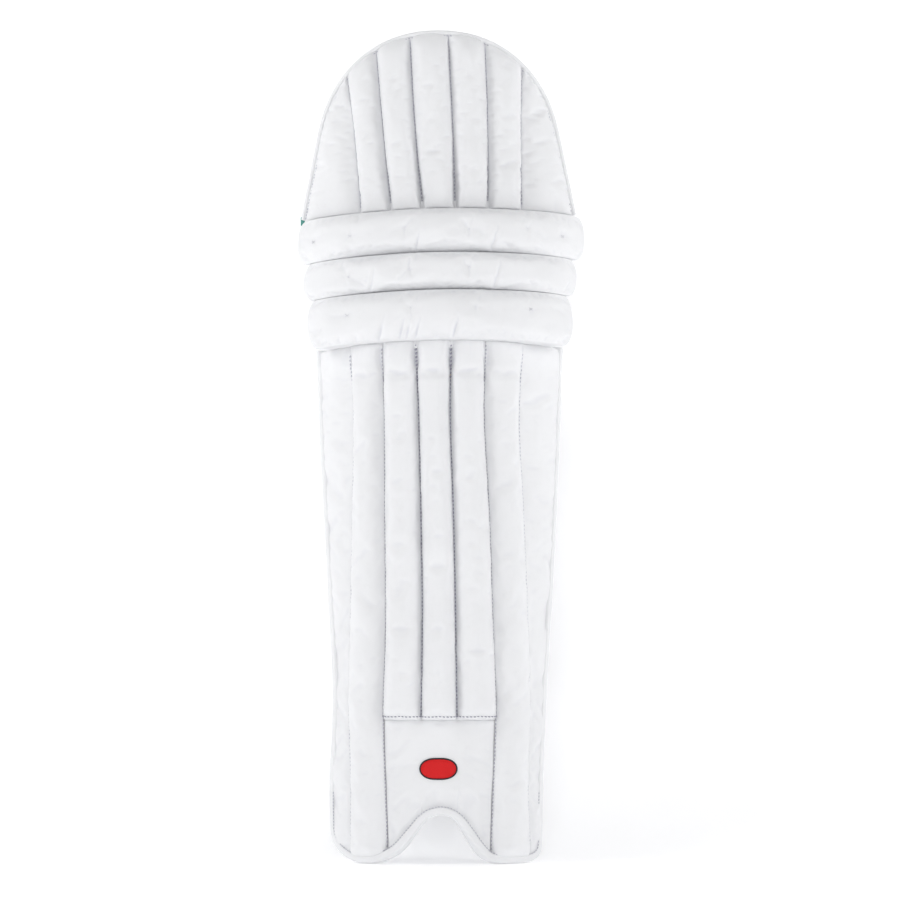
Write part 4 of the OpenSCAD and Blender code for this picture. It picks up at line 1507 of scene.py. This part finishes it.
def wing_web():
    """Gusset between the guard's edge and the wing, over the cord."""
    z_line = np.linspace(112, 424, 70)
    d_line = np.linspace(-2.0, 7.0, 12)
    z, d = np.meshgrid(z_line, d_line, indexing="ij")
    base = EDGE_LOW + EDGE_ALONG * ((z - 100) / EDGE_ALONG[2])[..., None]
    depth = 14 + 6 * (z - 100) / 350

    def at(extra):
        return base - EDGE_RADIAL * (depth + extra)[..., None] + EDGE_BACK * d[..., None]

    middle = base[35, 0]
    web("fold_wing", at(-0.5), at(0.5), middle - EDGE_BACK * 0.5,
        middle + EDGE_BACK * 5.5, web_mat)


wing_web()


def strap_fold(name, a, z_mid):
    """The bend of a strap at angle a, between its two bodies."""
    half = STRAP_W / 2 - 1.5
    angle, dz = np.meshgrid(np.linspace(a - 3.4, a + 3.4, 15), np.linspace(-half, half, 12), indexing="ij")
    web(name, wrap(angle, STRAP_R + 1.9, z_mid + dz), wrap(angle, STRAP_R + 1.0, z_mid + dz),
        wrap(a - 1.6, STRAP_R + 1.5, z_mid), wrap(a + 1.6, STRAP_R + 1.5, z_mid), webbing_mat)


for strap, z_mid in STRAPS.items():
    fold, body = "fold_" + strap, strap + "_strap"
    strap_fold(fold + "_anchor", strap_start(z_mid), z_mid)
    strap_fold(fold + "_tab", TAB_FROM, z_mid)


# ---- Stitching ----

SEAM_THREAD = {"length": 2.2, "pitch": 3.4, "radius": 0.55, "lift": 0.8}

sew("shin_rope_stitches", "shin_guard", [column_run(centre_cols, centre, c, 3, 0.1) for c in (3, 4)],
    dark_thread_mat, length=2.5, pitch=3.4, radius=0.8, slant=0.5, lift=0.9)
sew("instep_seam_stitches", "shin_guard", [(centre[2], radial(centre[2]))], dark_thread_mat,
    length=2.1, pitch=3.3, radius=0.5, lift=0.4)
side_runs = [column_run(outer_cols, outer, 2, 3, 0.1), column_run(inner_cols, inner, 5, 3, 0.1),
             column_run(outer_cols, outer, 1, 8, -0.05), column_run(inner_cols, inner, 6, 8, -0.05)]
sew("shin_seam_stitches", "shin_guard", side_runs, thread_mat, **SEAM_THREAD)
sew("shin_edge_stitches", "shin_guard", [edge_run], thread_mat, "binding_tape", length=2.0, pitch=2.8,
    radius=0.36, lift=-0.6)
sew("bolster_stitches", "shin_guard", bolster_runs, pale_thread_mat, "bolster_cloth", radius=0.36)
sew("anchor_stitches", "shin_guard", anchor_runs, thread_mat, "webbing")
sew("wing_stitches", "wing", [wing_run], thread_mat, "binding_tape", radius=0.36, lift=-0.1)


def hat_runs():
    runs = []
    out = unit(knee(np.array([0, -1.0, 0])) - knee(np.zeros(3)))
    for c in range(1, 7):
        i = int(np.argmin(np.abs(hat_cols - c)))
        points = knee(hat_front[3:-5, i])
        runs.append((points + out * 0.1, np.broadcast_to(out, points.shape)))
    return runs


sew("hat_seam_stitches", "top_hat", hat_runs(), thread_mat, **SEAM_THREAD)


def hat_rim_run():
    points = knee(hat_edge(5.0, HAT_RIM_R + 0.4))
    out = unit(points - knee(np.array([0.0, HAT_AXIS_Y, 0]))) * np.array([1, 1, 0])
    return points, unit(out)


sew("hat_rim_stitches", "top_hat", [hat_rim_run()], thread_mat, "binding_tape", length=2.0, pitch=2.8,
    radius=0.38)


def tuft_stitches():
    """A short crossed tack at the bottom of each dimple in the rolls."""
    for n, roll_name in enumerate(ROLL_NAMES):
        grid = knee(roll_fronts[n])
        flat = grid.reshape(-1, 3)
        upright = roll_fronts[n].reshape(-1, 3)
        runs = []
        for x, v in TUFTS[n]:
            z = ROLL_BASE[n] + v * ROLL_HEIGHT[n]
            i = int(np.argmin(np.hypot(upright[:, 0] - x, upright[:, 2] - z)))
            out = radial(upright[i], ROLL_AXIS_Y[n])
            across = unit(np.cross(out, [0, 0, 1.0]))
            for tilt in (-0.6, 0.6):
                line = across + np.array([0, 0, tilt])
                points = flat[i] + out * 0.15 + np.linspace(-1.6, 1.6, 9)[:, None] * line
                runs.append((points, np.broadcast_to(out, points.shape)))
        sew(roll_name + "_tufts", roll_name, runs, pale_thread_mat, length=1.5, pitch=1.4, radius=0.3,
            lift=0.0)


tuft_stitches()


# ---- Finishes for the hard pieces that stay as modelled ----

for node, material in {"shin_board": foam_mat, "hat_board": foam_mat, "wing_hinge_cord": green_mat,
                       "shin_canes": cane_mat, "lower_roll_canes": cane_mat, "middle_roll_canes": cane_mat,
                       "upper_roll_canes": cane_mat}.items():
    for part in NODES[node].material_slots:
        part.material = material


# ---- Studio ----

PAPER = rgb(0.97, 0.97, 0.975)
PAPER_GLOW = 0.24


def studio_paper(name, from_behind):
    """Matt white paper with a little glow. From behind it can be seen through, so that it hides nothing."""
    n = Nodes(name)
    grain = n.noise(n.object_mm(), 0.01, 4)
    shade = rgb(*(0.99 * c for c in PAPER[:3]))
    paper = n.finish(n.mix(grain, PAPER, shade), 0.9, n.bump(grain, 0.02, 0.0005),
                     **{"Emission Color": PAPER, "Emission Strength": PAPER_GLOW})
    if from_behind:
        behind = n.add("ShaderNodeNewGeometry").outputs["Backfacing"]
        clear = n.add("ShaderNodeBsdfTransparent").outputs[0]
        mixed = n.add("ShaderNodeMixShader", {0: behind, 1: n.shader.outputs[0], 2: clear}).outputs[0]
        n.set(n.tree.nodes["Material Output"], "Surface", mixed)
    return paper


def stage_sheet(name, line, material):
    """A wide sheet whose side view is a line of (y, z) points in metres."""
    half = 7
    verts = [(x, y, z) for y, z in line for x in (-half, half)]
    mesh = bpy.data.meshes.new(name)
    mesh.from_pydata(verts, [], [(2 * k, 2 * k + 1, 2 * k + 3, 2 * k + 2) for k in range(len(line) - 1)])
    mesh.polygons.foreach_set("use_smooth", [True] * len(mesh.polygons))
    obj = add_object(name, mesh)
    mesh.materials.append(material)


BACKDROP_Y = 0.10
SWEEP_R = 0.13
bend = np.radians(np.linspace(0, 90, 17))
sweep_line = list(zip(BACKDROP_Y - SWEEP_R + SWEEP_R * np.sin(bend), SWEEP_R * (1 - np.cos(bend))))
stage_sheet("backdrop", sweep_line + [(BACKDROP_Y, 6.0)], studio_paper("backdrop_paper", True))
stage_sheet("floor", [(-8, -0.0004), (8, -0.0004)], studio_paper("floor_paper", False))


def area_light(name, place, aim, size, power):
    light = bpy.data.lights.new(name, "AREA")
    light.shape = "RECTANGLE"
    light.size, light.size_y = size
    light.energy = power
    obj = add_object(name, light)
    obj.location = place
    obj.rotation_euler = (Vector(aim) - Vector(place)).to_track_quat("-Z", "Y").to_euler()
    obj.visible_camera = False


area_light("key_left", (-1.9, -1.1, 1.40), (0, 0, 0.60), (0.7, 1.3), 17.5)
area_light("key_right", (1.9, -1.1, 1.20), (0, 0, 0.60), (0.7, 1.3), 14.2)
area_light("fill_front", (0.0, -3.2, 1.10), (0, 0, 0.60), (1.0, 1.0), 17)

world = bpy.data.worlds.new("studio")
world.use_nodes = True
tree = world.node_tree
background = tree.nodes["Background"]
background.inputs["Color"].default_value = rgb(1.0, 1.0, 1.0)
rays = tree.nodes.new("ShaderNodeLightPath")
bright = tree.nodes.new("ShaderNodeMapRange")
tree.links.new(rays.outputs["Is Camera Ray"], bright.inputs["Value"])
bright.inputs["To Min"].default_value = 0.23
bright.inputs["To Max"].default_value = 1.0
tree.links.new(bright.outputs[0], background.inputs["Strength"])
bpy.context.scene.world = world
bpy.context.scene.view_settings.view_transform = "Standard"

# The picture is FRAME_WIDTH wide at SCALE_Y, the depth of the pad's front-facing seams.
CAMERA_Y = -6.0
SCALE_Y = -0.085
FRAME_WIDTH = 0.7817
camera = bpy.data.cameras.new("camera")
camera.lens = 36 * (SCALE_Y - CAMERA_Y) / FRAME_WIDTH
camera_obj = add_object("camera", camera)
camera_obj.location = (0.010, CAMERA_Y, 0.3587)
camera_obj.rotation_euler = (math.radians(90), 0, 0)
bpy.context.scene.camera = camera_obj
